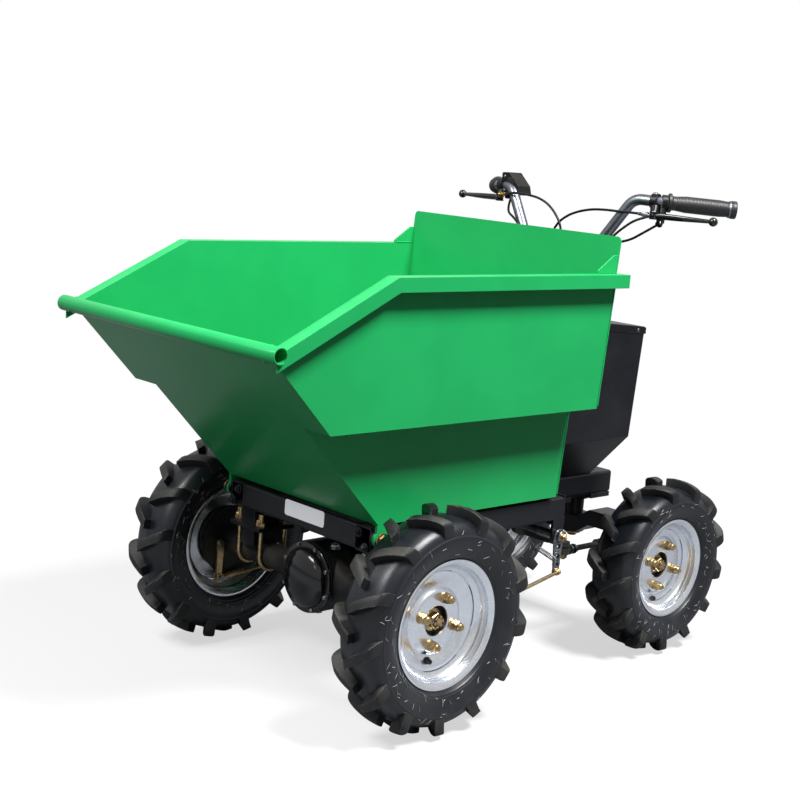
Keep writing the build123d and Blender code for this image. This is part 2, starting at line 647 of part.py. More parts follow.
def side_outline(inset, open_top):
    """Corner points, in (Y, Z), of the tub seen from the side, each wall moved inwards by an inset."""
    low = FLOOR_Z + inset
    back_shift = inset * hypot(1, BACK_LEAN)
    if open_top:
        top_edge = [(front_y(LIP_Z, inset), BOARD_Z), (back_y(BOARD_Z) - back_shift, BOARD_Z)]
    else:
        top_edge = [(RIM_BREAK_Y, RIM_Z), (back_y(RIM_Z) - back_shift, RIM_Z)]
    front_edge = [(front_y(low, inset), low), (front_y(LIP_Z, inset), LIP_Z)]
    return front_edge + top_edge + [(back_y(low) - back_shift, low)]


def tub_prism(points, half, mode, lowest=None):
    """Side outline pushed out to both sides, kept only above a height when one is given."""
    with BuildSketch(Plane.YZ) as outline:
        with BuildLine():
            Polyline(*points, close=True)
        make_face()
        if lowest:
            with Locations((FRONT_Y, lowest - LEDGE_Z)):
                Rectangle(4 * WHEELBASE, 2 * LEDGE_Z, mode=Mode.SUBTRACT)
    extrude(outline.sketch, amount=half, both=True, mode=mode)


BACK_ANGLE = degrees(atan(BACK_LEAN))
with BuildPart() as tub:
    tub_prism(side_outline(0, False), CHEST_HALF, Mode.ADD)
    tub_prism(side_outline(0, False), TUB_HALF, Mode.ADD, lowest=LEDGE_Z)
    tub_prism(side_outline(SHEET, True), CHEST_HALF - SHEET, Mode.SUBTRACT)
    tub_prism(side_outline(SHEET, True), TUB_HALF - SHEET, Mode.SUBTRACT, lowest=LEDGE_Z + SHEET)
    board_height = (BOARD_Z - RIM_Z + SHEET) / cos(radians(BACK_ANGLE))
    board_plane = Plane(
        origin=(0, back_y(RIM_Z - SHEET), RIM_Z - SHEET), x_dir=(1, 0, 0), z_dir=(0, -1, BACK_LEAN)
    )
    with BuildSketch(board_plane) as board:
        with Locations((0, board_height / 2)):
            Rectangle(2 * TUB_HALF, board_height)
        fillet(board.vertices().group_by(Axis.Y)[-1], BOARD_CORNER_R)
    extrude(board.sketch, amount=SHEET)
    round_bar((-LIP_HALF, LIP_Y, LIP_Z), (LIP_HALF, LIP_Y, LIP_Z), LIP_R, Mode.SUBTRACT)
keep(tub, "tub")


def rim_band(depth):
    """Band of the given depth under the rim's edge line, seen from the side."""
    rear_y = back_y(RIM_Z) + RIM_OVERRUN
    slope = (RIM_Z - LIP_Z) / (RIM_BREAK_Y - LIP_Y)
    steep = depth * hypot(1, slope)
    mitre = (steep - depth) / slope
    upper = [(LIP_Y, LIP_Z), (RIM_BREAK_Y, RIM_Z), (rear_y, RIM_Z)]
    return upper + [(rear_y, RIM_Z - depth), (RIM_BREAK_Y + mitre, RIM_Z - depth), (LIP_Y, LIP_Z - steep)]


for side_name, side in SIDES.items():
    with BuildPart() as tub_rim:
        for depth, width in ((RIM_FLANGE, SHEET), (SHEET, RIM_FLANGE)):
            with BuildSketch(Plane.YZ.offset(side * (TUB_HALF + RIM_FLANGE))) as band:
                with BuildLine():
                    Polyline(*rim_band(depth), close=True)
                make_face()
            extrude(band.sketch, amount=-side * width)
        round_bar((-LIP_HALF, LIP_Y, LIP_Z), (LIP_HALF, LIP_Y, LIP_Z), LIP_R, Mode.SUBTRACT)
    keep(tub_rim, f"tub_rim_{side_name}")

with BuildPart() as lip_tube:
    round_bar((-LIP_HALF, LIP_Y, LIP_Z), (LIP_HALF, LIP_Y, LIP_Z), LIP_R)
    round_bar((-LIP_HALF, LIP_Y, LIP_Z), (LIP_HALF, LIP_Y, LIP_Z), LIP_R - LIP_WALL, Mode.SUBTRACT)
keep(lip_tube, "lip_tube")

with BuildPart() as board_gussets:
    for side in SIDES.values():
        with BuildSketch(Plane.YZ.offset(side * TUB_HALF)) as gusset:
            with BuildLine():
                foot = back_y(RIM_Z) - SHEET * hypot(1, BACK_LEAN)
                head = back_y(RIM_Z + GUSSET_HEIGHT) - SHEET * hypot(1, BACK_LEAN)
                Polyline(
                    (foot, RIM_Z), (foot - GUSSET_LENGTH, RIM_Z), (foot - GUSSET_LENGTH, RIM_Z + 6),
                    (head - 12, RIM_Z + GUSSET_HEIGHT), (head, RIM_Z + GUSSET_HEIGHT), close=True,
                )
            make_face()
        extrude(gusset.sketch, amount=-side * SHEET)
keep(board_gussets, "board_gussets")

with BuildPart() as hinge_ears:
    for side in SIDES.values():
        with BuildSketch(wheel_plane(CHEST_HALF - HINGE_EAR_THICK, HINGE_Y, HINGE_Z, side)) as ear:
            Circle(HINGE_EAR_R)
            with Locations((side * (HINGE_EAR_LENGTH / 2 - HINGE_EAR_R + 6), (FLOOR_Z - HINGE_Z + 2) / 2)):
                Rectangle(HINGE_EAR_LENGTH, FLOOR_Z - HINGE_Z - 2)
            Circle(HINGE_PIN_R + PIN_CLEARANCE, mode=Mode.SUBTRACT)
        extrude(ear.sketch, amount=HINGE_EAR_THICK)
keep(hinge_ears, "hinge_ears")


# ---------------------------------------------------------------- battery case
def case_levels(inset):
    """Half width, front Y, rear Y and height of the case at its foot, its fold and level with its top."""
    rear, fold_front = CASE_LENGTH - inset, case_front_y(CASE_FOLD_Z)
    tip = CASE_TOP_FRONT_Z + 30
    foot = CASE_FOOT_Z + inset
    foot_rear = case_front_y(CASE_FOOT_Z) + CASE_LENGTH - CASE_FOOT_INSET - inset
    return (
        (CASE_FOOT_HALF - inset, case_front_y(foot) + inset, foot_rear, foot),
        (CASE_HALF - inset, fold_front + inset, fold_front + rear, CASE_FOLD_Z),
        (CASE_HALF - inset, case_front_y(tip) + inset, case_front_y(tip) + rear, tip),
    )


def case_block(inset, mode):
    """Case outline as a solid, tapering under the fold and cut off by its sloping top."""
    levels = case_levels(inset)
    for lower, upper in zip(levels, levels[1:]):
        outlines = []
        for half, front, rear, height in (lower, upper):
            with BuildSketch(Plane(origin=(0, (front + rear) / 2, height))) as outline:
                Rectangle(2 * half, rear - front)
            outlines.append(outline.sketch)
        loft(outlines, ruled=True, mode=mode)


TOP_SLOPE = (CASE_TOP_FRONT_Z - CASE_TOP_REAR_Z) / CASE_LENGTH
CASE_TOP_Y = case_front_y(CASE_TOP_FRONT_Z)


def top_plane(drop):
    """Plane of the case's sloping top, lowered by a drop, with its normal pointing up."""
    return Plane(origin=(0, CASE_TOP_Y, CASE_TOP_FRONT_Z - drop), x_dir=(1, 0, 0), z_dir=(0, TOP_SLOPE, 1))


with BuildPart() as case_hollow:
    case_block(CASE_SHEET, Mode.ADD)
    split(bisect_by=top_plane(CASE_SHEET), keep=Keep.BOTTOM)

with BuildPart() as battery_case:
    case_block(0, Mode.ADD)
    split(bisect_by=top_plane(0), keep=Keep.BOTTOM)
    add(case_hollow.part, mode=Mode.SUBTRACT)
    round_bar((0, COLUMN_Y, CASE_FOOT_Z - CASE_GAP), (0, COLUMN_Y, BAR_CENTRE_Z), TUNNEL_R, Mode.SUBTRACT)
keep(battery_case, "battery_case")

pack_front = case_front_y(CASE_FOLD_Z) + BATTERY_SETBACK
with BuildPart() as battery_pack:
    for side in SIDES.values():
        pack_x = side * (TUNNEL_R + 4 + BATTERY_WIDTH / 2)
        box_between(
            (pack_x - BATTERY_WIDTH / 2, pack_front, CASE_FOLD_Z),
            (pack_x + BATTERY_WIDTH / 2, pack_front + BATTERY_LENGTH, CASE_FOLD_Z + BATTERY_HEIGHT),
        )
keep(battery_pack, "battery_pack")

COLLAR_MID_Z = CASE_TOP_FRONT_Z - TOP_SLOPE * (COLUMN_Y - CASE_TOP_Y)
with BuildPart() as column_collar:
    round_bar((0, COLUMN_Y, COLLAR_MID_Z - 20), (0, COLUMN_Y, COLLAR_MID_Z + COLLAR_HEIGHT), COLLAR_R)
    split(bisect_by=top_plane(0), keep=Keep.TOP)
    bore_foot = (0, COLUMN_Y, COLLAR_MID_Z - 20)
    bore_head = (0, COLUMN_Y, COLLAR_MID_Z + COLLAR_HEIGHT)
    round_bar(bore_foot, bore_head, COLUMN_R + PIN_CLEARANCE, Mode.SUBTRACT)
keep(column_collar, "column_collar")


# ---------------------------------------------------------------- steering
with BuildPart() as steering_column:
    round_bar((0, COLUMN_Y, COLUMN_FOOT_Z), (0, COLUMN_Y, BAR_CENTRE_Z - BAR_CLAMP_HEIGHT / 2), COLUMN_R)
    with BuildSketch(Plane(origin=(STEER_ARM / 2, COLUMN_Y, COLUMN_FOOT_Z))) as arm:
        SlotCenterToCenter(STEER_ARM, STEER_ARM_WIDTH)
    extrude(arm.sketch, amount=-STEER_ARM_THICK)
    arm_foot = COLUMN_FOOT_Z - STEER_ARM_THICK
    round_bar((STEER_ARM, COLUMN_Y, arm_foot), (STEER_ARM, COLUMN_Y, LINK_Z - LINK_R - 4), LINK_PIN_R)
keep(steering_column, "steering_column")

# one half of the handlebar, from the middle out: (X, distance behind the column, height above the clamp).
# This table and the tables of levers and cables are for a bar that rises 194, and scale with BAR_RISE.
BAR_POINTS = ((35, 0, 0), (165, 32, 194), (215, 44, 192), (322, 152, 187))
BAR_RADII = (30, 35, 60)


def on_bar(x, behind, above):
    """Point at X, behind the column and above the middle of the handlebar's clamp."""
    return (x * BAR_SCALE, COLUMN_Y + behind * BAR_SCALE, BAR_CENTRE_Z + above * BAR_SCALE)


def bar_point(index, side):
    """Corner of the handlebar's centre line on one side."""
    x, behind, above = BAR_POINTS[index]
    return on_bar(side * x, behind, above)


def along_grip(side, distance):
    """Point on the straight end of the handlebar, measured from its last corner."""
    start = Vector(*bar_point(2, side))
    run = Vector(*bar_point(3, side)) - start
    return tuple(start + run.normalized() * distance)


with BuildPart() as handlebar:
    with BuildLine() as bar_route:
        corners = [bar_point(index, -1) for index in (3, 2, 1, 0)]
        corners += [bar_point(index, 1) for index in (0, 1, 2, 3)]
        FilletPolyline(*corners, radius=[radius * BAR_SCALE for radius in BAR_RADII[::-1] + BAR_RADII])
    with BuildSketch(bar_route.wires()[0].location_at(0)) as bar_section:
        Circle(BAR_R)
    sweep(bar_section.sketch, path=bar_route.wires()[0])
keep(handlebar, "handlebar")

with BuildPart() as bar_clamp:
    clamp_foot = BAR_CENTRE_Z - BAR_CLAMP_HEIGHT / 2
    box_between(
        (-BAR_CLAMP_HALF, COLUMN_Y - BAR_CLAMP_HEIGHT / 2, clamp_foot),
        (BAR_CLAMP_HALF, COLUMN_Y + BAR_CLAMP_HEIGHT / 2, clamp_foot + BAR_CLAMP_HEIGHT),
    )
    add(handlebar.part, mode=Mode.SUBTRACT)
keep(bar_clamp, "bar_clamp")

# a grip along the bar: (distance from its inner end, radius)
GRIP_PROFILE = (
    (0, 0), (0, GRIP_FLANGE_R), (6, GRIP_FLANGE_R), (9, 14), (14, 14), (34, 16.5), (100, 16.5),
    (121, 15), (123, 17.5), (GRIP_LENGTH, 17.5), (GRIP_LENGTH, 0),
)
for side_name, side in SIDES.items():
    grip_foot = Vector(*along_grip(side, GRIP_START))
    grip_run = (Vector(*along_grip(side, GRIP_START + 1)) - grip_foot).normalized()
    grip_plane = Plane(origin=grip_foot, x_dir=grip_run, z_dir=grip_run.cross(Vector(0, 0, 1)))
    with BuildPart() as grip:
        with BuildSketch(grip_plane) as profile:
            with BuildLine():
                Polyline(*GRIP_PROFILE, close=True)
            make_face()
        revolve(profile.sketch, axis=Axis(grip_foot, grip_run))
        add(handlebar.part, mode=Mode.SUBTRACT)
    keep(grip, f"grip_{side_name}")

# brake levers: side, (spot on the bar), (pivot in front of it) and (ball at the blade's end).
# The right one stands further in, inboard of the throttle.
LEVERS = {
    "left": (1, (210, 43, 192), (222, 26, 165), (338, 61, 164)),
    "right": (-1, (194, 39, 193), (192, 26, 167), (338, 61, 164)),
}
perches = {}
for side_name, (side, spot_place, pivot_place, ball_place) in LEVERS.items():
    places = (spot_place, pivot_place, ball_place)
    spot, pivot, ball = [Vector(*on_bar(side * x, y, z)) for x, y, z in places]
    run = (Vector(*bar_point(2, side)) - Vector(*bar_point(1, side))).normalized()
    with BuildPart() as lever_perch:
        round_bar(tuple(spot - run * PERCH_HALF), tuple(spot + run * PERCH_HALF), PERCH_R)
        round_bar(tuple(spot), tuple(pivot), PERCH_ARM_R)
        add(handlebar.part, mode=Mode.SUBTRACT)
    with BuildPart() as brake_blade:
        reach = (ball - pivot).normalized()
        blade_start = pivot + reach * PIVOT_GAP
        outlines = []
        for spot_on_blade, half_height, half_depth in ((blade_start, 6.5, 4.5), (ball, 4.0, 4.5)):
            with BuildSketch(Plane(origin=spot_on_blade, x_dir=(0, 0, 1), z_dir=reach)) as outline:
                Ellipse(half_height, half_depth)
            outlines.append(outline.sketch)
        loft(outlines)
        with Locations(tuple(ball)):
            Sphere(BLADE_BALL_R, rotation=(0, 0, 90))
        add(lever_perch.part, mode=Mode.SUBTRACT)
    perches[side_name] = lever_perch.part
    keep(lever_perch, f"lever_perch_{side_name}")
    keep(brake_blade, f"brake_blade_{side_name}")

# throttle housing inboard of the right grip: its outline from the front, as (X, height above the clamp)
THROTTLE_OUTLINE = ((-192, 175), (-192, 221), (-174, 222), (-145, 195), (-139, 175))
THROTTLE_FRONT = 28.0
THROTTLE_DEPTH = 40.0
with BuildPart() as throttle_housing:
    housing_front = COLUMN_Y + THROTTLE_FRONT
    housing_plane = Plane(origin=(0, housing_front, BAR_CENTRE_Z), x_dir=(1, 0, 0), z_dir=(0, -1, 0))
    with BuildSketch(housing_plane) as outline:
        with BuildLine():
            Polyline(*[(x * BAR_SCALE, above * BAR_SCALE) for x, above in THROTTLE_OUTLINE], close=True)
        make_face()
        fillet(outline.vertices(), 4)
    extrude(outline.sketch, amount=-THROTTLE_DEPTH)
    add(handlebar.part, mode=Mode.SUBTRACT)
    add(perches["right"], mode=Mode.SUBTRACT)
keep(throttle_housing, "throttle_housing")

# left switch: (start, end) of its ring along the bar, and the foot of its knob as in the bar's table
SWITCH_RING = (8, 18)
SWITCH_FOOT = (227, 42, 152)
with BuildPart() as bar_switch:
    ring_start, ring_end = [along_grip(1, distance) for distance in SWITCH_RING]
    round_bar(ring_start, ring_end, SWITCH_RING_R)
    round_bar(along_grip(1, sum(SWITCH_RING) / 2), on_bar(*SWITCH_FOOT), SWITCH_KNOB_R)
    add(handlebar.part, mode=Mode.SUBTRACT)
    add(perches["left"], mode=Mode.SUBTRACT)
keep(bar_switch, "bar_switch")

# cables from the levers and switches to the clamp: corner points as (X, behind the column, above the clamp)
CABLES = {
    "brake_cable_right": (
        (-186, 21, 173), (-166, 14, 176), (-136, 10, 181), (-100, 10, 180), (-68, 11, 176), (-42, 12, 166),
        (-21, 13, 149), (-5, 14, 128), (2, 13, 102), (6, 12, 62), (6, 12, 22),
    ),
    "throttle_cable": (
        (-170, 40, 175), (-168, 30, 152), (-152, 14, 138), (-128, 5, 130), (-108, 2, 116), (-92, -2, 90),
        (-72, -6, 64), (-50, -8, 50), (-30, -9, 40), (-20, -10, 22),
    ),
    "brake_cable_left": (
        (216, 17, 165), (184, 13, 167), (156, 11, 166), (119, 10, 167), (80, 10, 165), (45, 12, 158),
        (13, 18, 148), (-14, 22, 133), (-30, 22, 112), (-28, 20, 77), (-16, 17, 46), (-14, 16, 22),
    ),
    "switch_cable": (
        (222, 38, 146), (196, 30, 128), (170, 29, 113), (140, 33, 105), (105, 34, 97), (70, 28, 77),
        (42, 20, 54), (26, 15, 40), (20, 14, 22),
    ),
    "bar_wire": (
        (224, 47, 168), (196, 47, 162), (166, 35, 150), (133, 20, 119), (93, 10, 59), (62, 9, 12),
        (45, 10, -14), (28, 10, -17),
    ),
}
# what the cables run into, and end at
CABLE_SEATS = (bar_clamp.part, *perches.values(), throttle_housing.part, bar_switch.part)


def corner_radii(points):
    """Radius at each corner of a route that uses a fixed share of the shorter run beside it."""
    radii = []
    for before, corner, after in zip(points, points[1:], points[2:]):
        first = Vector(*corner) - Vector(*before)
        second = Vector(*after) - Vector(*corner)
        half_turn = radians(first.get_angle(second)) / 2
        radii.append(CABLE_BEND * min(first.length, second.length) / tan(half_turn))
    return radii


for label, places in CABLES.items():
    route = [on_bar(*place) for place in places]
    radii = corner_radii(route)
    print(label, [round(radius) for radius in radii])
    with BuildPart() as cable:
        with BuildLine() as centre:
            FilletPolyline(*route, radius=radii)
        with BuildSketch(centre.wires()[0].location_at(0)) as section:
            Circle(CABLE_R)
        sweep(section.sketch, path=centre.wires()[0])
        add(CABLE_SEATS, mode=Mode.SUBTRACT)
    keep(cable, label)


# ---------------------------------------------------------------- drag link and rear axle
with BuildPart() as drag_link:
    eye_low = LINK_Z - LINK_R - 1
    with BuildSketch(Plane(origin=(STEER_ARM, COLUMN_Y, LINK_Z), x_dir=(1, 0, 0), z_dir=(0, 1, 0))) as link:
        Circle(LINK_R)
    extrude(link.sketch, amount=REAR_Y - COLUMN_Y)
    for eye_y in (COLUMN_Y, REAR_Y):
        round_bar((STEER_ARM, eye_y, eye_low), (STEER_ARM, eye_y, eye_low + 2 * LINK_R + 2), LINK_EYE_R)
    for eye_y in (COLUMN_Y, REAR_Y):
        eye_top = (STEER_ARM, eye_y, eye_low + 2 * LINK_R + 2)
        round_bar((STEER_ARM, eye_y, eye_low), eye_top, LINK_PIN_R + PIN_CLEARANCE, Mode.SUBTRACT)
keep(drag_link, "drag_link")

with BuildPart() as rear_beam:
    beam_plane = Plane(origin=(0, REAR_Y - BEAM_DEPTH / 2, 0), x_dir=(1, 0, 0), z_dir=(0, -1, 0))
    with BuildSketch(beam_plane) as beam:
        with BuildLine():
            beam_end = BEAM_HALF - KNUCKLE_THICK
            upper = [(beam_end, BEAM_TOP), (BEAM_SLOPE_HALF, BEAM_TOP), (BEAM_DIP_HALF, BEAM_CENTRE_TOP)]
            lower = [(x, z - BEAM_THICK) for x, z in reversed(upper)]
            Polyline(
                *upper, *[(-x, z) for x, z in reversed(upper)],
                *[(-x, z) for x, z in reversed(lower)], *lower,
                close=True,
            )
        make_face()
        bends = [v for v in beam.vertices() if abs(v.X) < BEAM_HALF - KNUCKLE_THICK - 1]
        fillet(bends, BEAM_BEND_R)
    extrude(beam.sketch, amount=-BEAM_DEPTH)
    round_bar((0, REAR_Y, BEAM_CENTRE_TOP - BEAM_THICK - 6), (0, REAR_Y, BEAM_CENTRE_TOP), 25)
    round_bar((0, REAR_Y, BEAM_CENTRE_TOP), (0, REAR_Y, KING_TOP), KINGPIN_R)
    arm_top = BEAM_TOP - BEAM_THICK
    round_bar((STEER_ARM, REAR_Y, arm_top), (STEER_ARM, REAR_Y, LINK_Z + LINK_R + 2), LINK_EYE_R)
    round_bar((STEER_ARM, REAR_Y, arm_top), (STEER_ARM, REAR_Y, LINK_Z - LINK_R - 4), LINK_PIN_R)
    for side in SIDES.values():
        with BuildSketch(wheel_plane(BEAM_HALF - KNUCKLE_THICK, REAR_Y, REAR_TYRE_R, side)) as knuckle:
            Circle(BEAM_DEPTH / 2)
            plate_height = BEAM_TOP - REAR_TYRE_R
            with Locations((0, plate_height / 2)):
                Rectangle(BEAM_DEPTH, plate_height)
        extrude(knuckle.sketch, amount=KNUCKLE_THICK)
        stub_start = (side * BEAM_HALF, REAR_Y, REAR_TYRE_R)
        round_bar(stub_start, (side * stub_end(REAR_X), REAR_Y, REAR_TYRE_R), STUB_R)
keep(rear_beam, "rear_beam")
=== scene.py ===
"""Looks of the site dumper: finishes for the CAD nodes, and the pieces that are too fine for them.

Lengths are in metres, in the frame of the part: the front faces -Y, +X is its left, and Z is up.
"""

import json

import bmesh
import bpy
import numpy as np
from mathutils import Matrix


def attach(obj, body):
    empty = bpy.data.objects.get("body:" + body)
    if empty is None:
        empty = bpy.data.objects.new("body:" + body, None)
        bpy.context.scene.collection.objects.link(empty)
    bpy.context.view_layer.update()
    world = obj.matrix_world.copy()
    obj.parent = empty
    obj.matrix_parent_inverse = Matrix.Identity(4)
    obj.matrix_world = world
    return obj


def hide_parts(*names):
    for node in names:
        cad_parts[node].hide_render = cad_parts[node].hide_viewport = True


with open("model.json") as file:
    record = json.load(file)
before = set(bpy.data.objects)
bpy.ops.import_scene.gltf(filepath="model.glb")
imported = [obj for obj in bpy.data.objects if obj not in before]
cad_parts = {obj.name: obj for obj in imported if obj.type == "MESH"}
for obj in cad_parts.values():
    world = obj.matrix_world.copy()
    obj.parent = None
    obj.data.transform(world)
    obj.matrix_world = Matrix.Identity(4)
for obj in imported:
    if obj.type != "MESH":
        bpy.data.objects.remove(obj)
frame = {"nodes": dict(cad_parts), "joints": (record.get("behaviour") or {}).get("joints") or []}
nodes = frame["nodes"]
pivots = {joint["name"]: np.array(joint["pos_m"], float) for joint in frame["joints"]}
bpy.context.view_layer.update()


# ---------------------------------------------------------------- shader node groups


def new_group(name, inputs, outputs):
    """An empty shader group with its input and output nodes; a socket is (name, kind, default)."""
    group = bpy.data.node_groups.new(name, "ShaderNodeTree")
    for label, kind, default in inputs:
        socket = group.interface.new_socket(name=label, in_out="INPUT", socket_type=kind)
        socket.default_value = default
    for label, kind in outputs:
        group.interface.new_socket(name=label, in_out="OUTPUT", socket_type=kind)
    entry = group.nodes.new("NodeGroupInput")
    leave = group.nodes.new("NodeGroupOutput")
    return group, entry, leave


def math_node(tree, operation, first, second=None, third=None, clamp=False):
    """A Math node on sockets or plain numbers, and its output."""
    node = tree.nodes.new("ShaderNodeMath")
    node.operation = operation
    node.use_clamp = clamp
    for place, value in enumerate((first, second, third)):
        if value is None:
            continue
        if isinstance(value, (int, float)):
            node.inputs[place].default_value = value
        else:
            tree.links.new(value, node.inputs[place])
    return node.outputs[0]


def ramp(tree, factor, stops):
    """A Map Range from stops = (from low, from high, to low, to high), smooth and clamped."""
    node = tree.nodes.new("ShaderNodeMapRange")
    node.interpolation_type = "SMOOTHSTEP"
    for place, value in enumerate(stops):
        node.inputs[place + 1].default_value = value
    tree.links.new(factor, node.inputs[0])
    return node.outputs[0]


def noise(tree, vector, scale, detail=3.0, roughness=0.55):
    """Noise on a vector; the scale is a socket or a number."""
    node = tree.nodes.new("ShaderNodeTexNoise")
    node.inputs["Detail"].default_value = detail
    node.inputs["Roughness"].default_value = roughness
    if isinstance(scale, (int, float)):
        node.inputs["Scale"].default_value = scale
    else:
        tree.links.new(scale, node.inputs["Scale"])
    tree.links.new(vector, node.inputs["Vector"])
    return node.outputs["Fac"]


def object_place(tree):
    """Object coordinates, which are metres from the origin of the part."""
    return tree.nodes.new("ShaderNodeTexCoord").outputs["Object"]


def make_edge_wear():
    """Mask near outer edges: how far the bevelled normal turns from the true one, broken up by noise."""
    group, entry, leave = new_group(
        "edge_wear",
        (("Amount", "NodeSocketFloat", 0.5), ("Breakup", "NodeSocketFloat", 60.0)),
        (("Mask", "NodeSocketFloat"),),
    )
    bevel = group.nodes.new("ShaderNodeBevel")
    bevel.samples = 4
    bevel.inputs["Radius"].default_value = 0.0022
    true = group.nodes.new("ShaderNodeNewGeometry")
    dot = group.nodes.new("ShaderNodeVectorMath")
    dot.operation = "DOT_PRODUCT"
    group.links.new(bevel.outputs[0], dot.inputs[0])
    group.links.new(true.outputs["Normal"], dot.inputs[1])
    turn = math_node(group, "SUBTRACT", 1.0, dot.outputs["Value"], clamp=True)
    edge = ramp(group, turn, (0.03, 0.22, 0.0, 1.0))
    spots = noise(group, object_place(group), entry.outputs["Breakup"], 4.0, 0.65)
    patch = ramp(group, spots, (0.45, 0.62, 0.0, 1.0))
    mask = math_node(group, "MULTIPLY", edge, patch)
    mask = math_node(group, "MULTIPLY", mask, entry.outputs["Amount"], clamp=True)
    group.links.new(mask, leave.inputs["Mask"])
    return group


def make_orange_peel():
    """Height of a sprayed or moulded skin: fine noise plus a slow swell."""
    group, entry, leave = new_group(
        "orange_peel",
        (("Scale", "NodeSocketFloat", 400.0), ("Swell", "NodeSocketFloat", 0.4)),
        (("Height", "NodeSocketFloat"), ("Tone", "NodeSocketFloat")),
    )
    place = object_place(group)
    fine = noise(group, place, entry.outputs["Scale"], 2.0)
    slow = noise(group, place, 7.0, 2.0)
    swell = math_node(group, "MULTIPLY", slow, entry.outputs["Swell"])
    group.links.new(math_node(group, "ADD", fine, swell), leave.inputs["Height"])
    group.links.new(slow, leave.inputs["Tone"])
    return group


def make_settled_dust():
    """Mask of dust: thicker on faces that look up, and in slow patches."""
    group, entry, leave = new_group(
        "settled_dust",
        (("Amount", "NodeSocketFloat", 0.3), ("Low", "NodeSocketFloat", 0.0)),
        (("Mask", "NodeSocketFloat"),),
    )
    shape = group.nodes.new("ShaderNodeNewGeometry")
    parts = group.nodes.new("ShaderNodeSeparateXYZ")
    group.links.new(shape.outputs["Normal"], parts.inputs[0])
    up = ramp(group, parts.outputs["Z"], (0.1, 1.0, 0.12, 1.0))
    place = object_place(group)
    patch = ramp(group, noise(group, place, 14.0, 5.0, 0.6), (0.38, 0.7, 0.0, 1.0))
    speck = ramp(group, noise(group, place, 900.0, 2.0), (0.35, 0.6, 0.5, 1.0))
    mask = math_node(group, "MULTIPLY", up, patch)
    mask = math_node(group, "MULTIPLY", mask, speck)
    mask = math_node(group, "MULTIPLY", mask, entry.outputs["Amount"], clamp=True)
    height = group.nodes.new("ShaderNodeSeparateXYZ")
    group.links.new(place, height.inputs[0])
    near_ground = ramp(group, height.outputs["Z"], (0.0, 0.35, 1.0, 0.0))
    splash = math_node(group, "MULTIPLY", near_ground, entry.outputs["Low"])
    splash = math_node(group, "MULTIPLY", splash, patch)
    group.links.new(math_node(group, "MAXIMUM", mask, splash), leave.inputs["Mask"])
    return group


def make_spangle():
    """Tone of a plated face, Voronoi cells over cloudy noise, and the height of its slow swell."""
    group, entry, leave = new_group(
        "spangle",
        (("Scale", "NodeSocketFloat", 90.0),),
        (("Tone", "NodeSocketFloat"), ("Height", "NodeSocketFloat")),
    )
    place = object_place(group)
    cells = group.nodes.new("ShaderNodeTexVoronoi")
    group.links.new(place, cells.inputs["Vector"])
    group.links.new(entry.outputs["Scale"], cells.inputs["Scale"])
    split = group.nodes.new("ShaderNodeSeparateColor")
    group.links.new(cells.outputs["Color"], split.inputs[0])
    cloud = noise(group, place, 35.0, 5.0, 0.65)
    tone = math_node(group, "MULTIPLY", split.outputs[0], 0.35)
    tone = math_node(group, "MULTIPLY_ADD", cloud, 0.65, tone)
    group.links.new(tone, leave.inputs["Tone"])
    group.links.new(noise(group, place, 24.0, 1.0), leave.inputs["Height"])
    return group


groups = {
    "edge_wear": make_edge_wear(),
    "orange_peel": make_orange_peel(),
    "settled_dust": make_settled_dust(),
    "spangle": make_spangle(),
}


# ---------------------------------------------------------------- materials
# how far the roughness drifts over a paint and over a plated face, and how much full dust adds to it
PAINT_DRIFT = 0.06
PLATE_DRIFT = 0.03
DUST_DULLS = 0.4


def use_group(tree, name, **values):
    """A shader group placed in a material with its own values."""
    node = tree.nodes.new("ShaderNodeGroup")
    node.node_tree = groups[name]
    for label, value in values.items():
        node.inputs[label].default_value = value
    return node


def linear(r, g, b):
    """A colour written in 0...255 as the linear numbers that a shader takes."""
    part = np.array((r, g, b)) / 255
    part = np.where(part <= 0.04045, part / 12.92, ((part + 0.055) / 1.055) ** 2.4)
    return (*part.tolist(), 1.0)


def mix_colour(tree, factor, first, second):
    """Mix of two colours, each a socket or four numbers."""
    node = tree.nodes.new("ShaderNodeMix")
    node.data_type = "RGBA"
    tree.links.new(factor, node.inputs["Factor"])
    for label, value in (("A", first), ("B", second)):
        socket = [s for s in node.inputs if s.name == label and s.type == "RGBA"][0]
        if isinstance(value, tuple):
            socket.default_value = value
        else:
            tree.links.new(value, socket)
    return [s for s in node.outputs if s.type == "RGBA"][0]


def start_material(name, metallic=0.0, coat=0.0, specular=0.5):
    """A material with its Principled shader; constants sit on the shader's own sockets."""
    material = bpy.data.materials.new(name)
    material.use_nodes = True
    tree = material.node_tree
    shader = tree.nodes["Principled BSDF"]
    shader.inputs["Metallic"].default_value = metallic
    shader.inputs["Coat Weight"].default_value = coat
    shader.inputs["Coat Roughness"].default_value = 0.12
    shader.inputs["Specular IOR Level"].default_value = specular
    return material, tree, shader


def add_bump(tree, shader, height, depth):
    """A Bump node that feeds the shader's normal; depth is in metres."""
    bump = tree.nodes.new("ShaderNodeBump")
    bump.inputs["Strength"].default_value = 1.0
    bump.inputs["Distance"].default_value = depth
    tree.links.new(height, bump.inputs["Height"])
    tree.links.new(bump.outputs[0], shader.inputs["Normal"])


def lay_dust(tree, shader, shade, gloss, amount, dusty, low=0.0):
    """Dust over a finish: its mask mixes the dust's colour in and dulls the gloss."""
    film = use_group(tree, "settled_dust", Amount=amount, Low=low)
    shade = mix_colour(tree, film.outputs[0], shade, linear(*dusty))
    tree.links.new(shade, shader.inputs["Base Color"])
    gloss = math_node(tree, "MULTIPLY_ADD", film.outputs[0], DUST_DULLS, gloss, clamp=True)
    tree.links.new(gloss, shader.inputs["Roughness"])


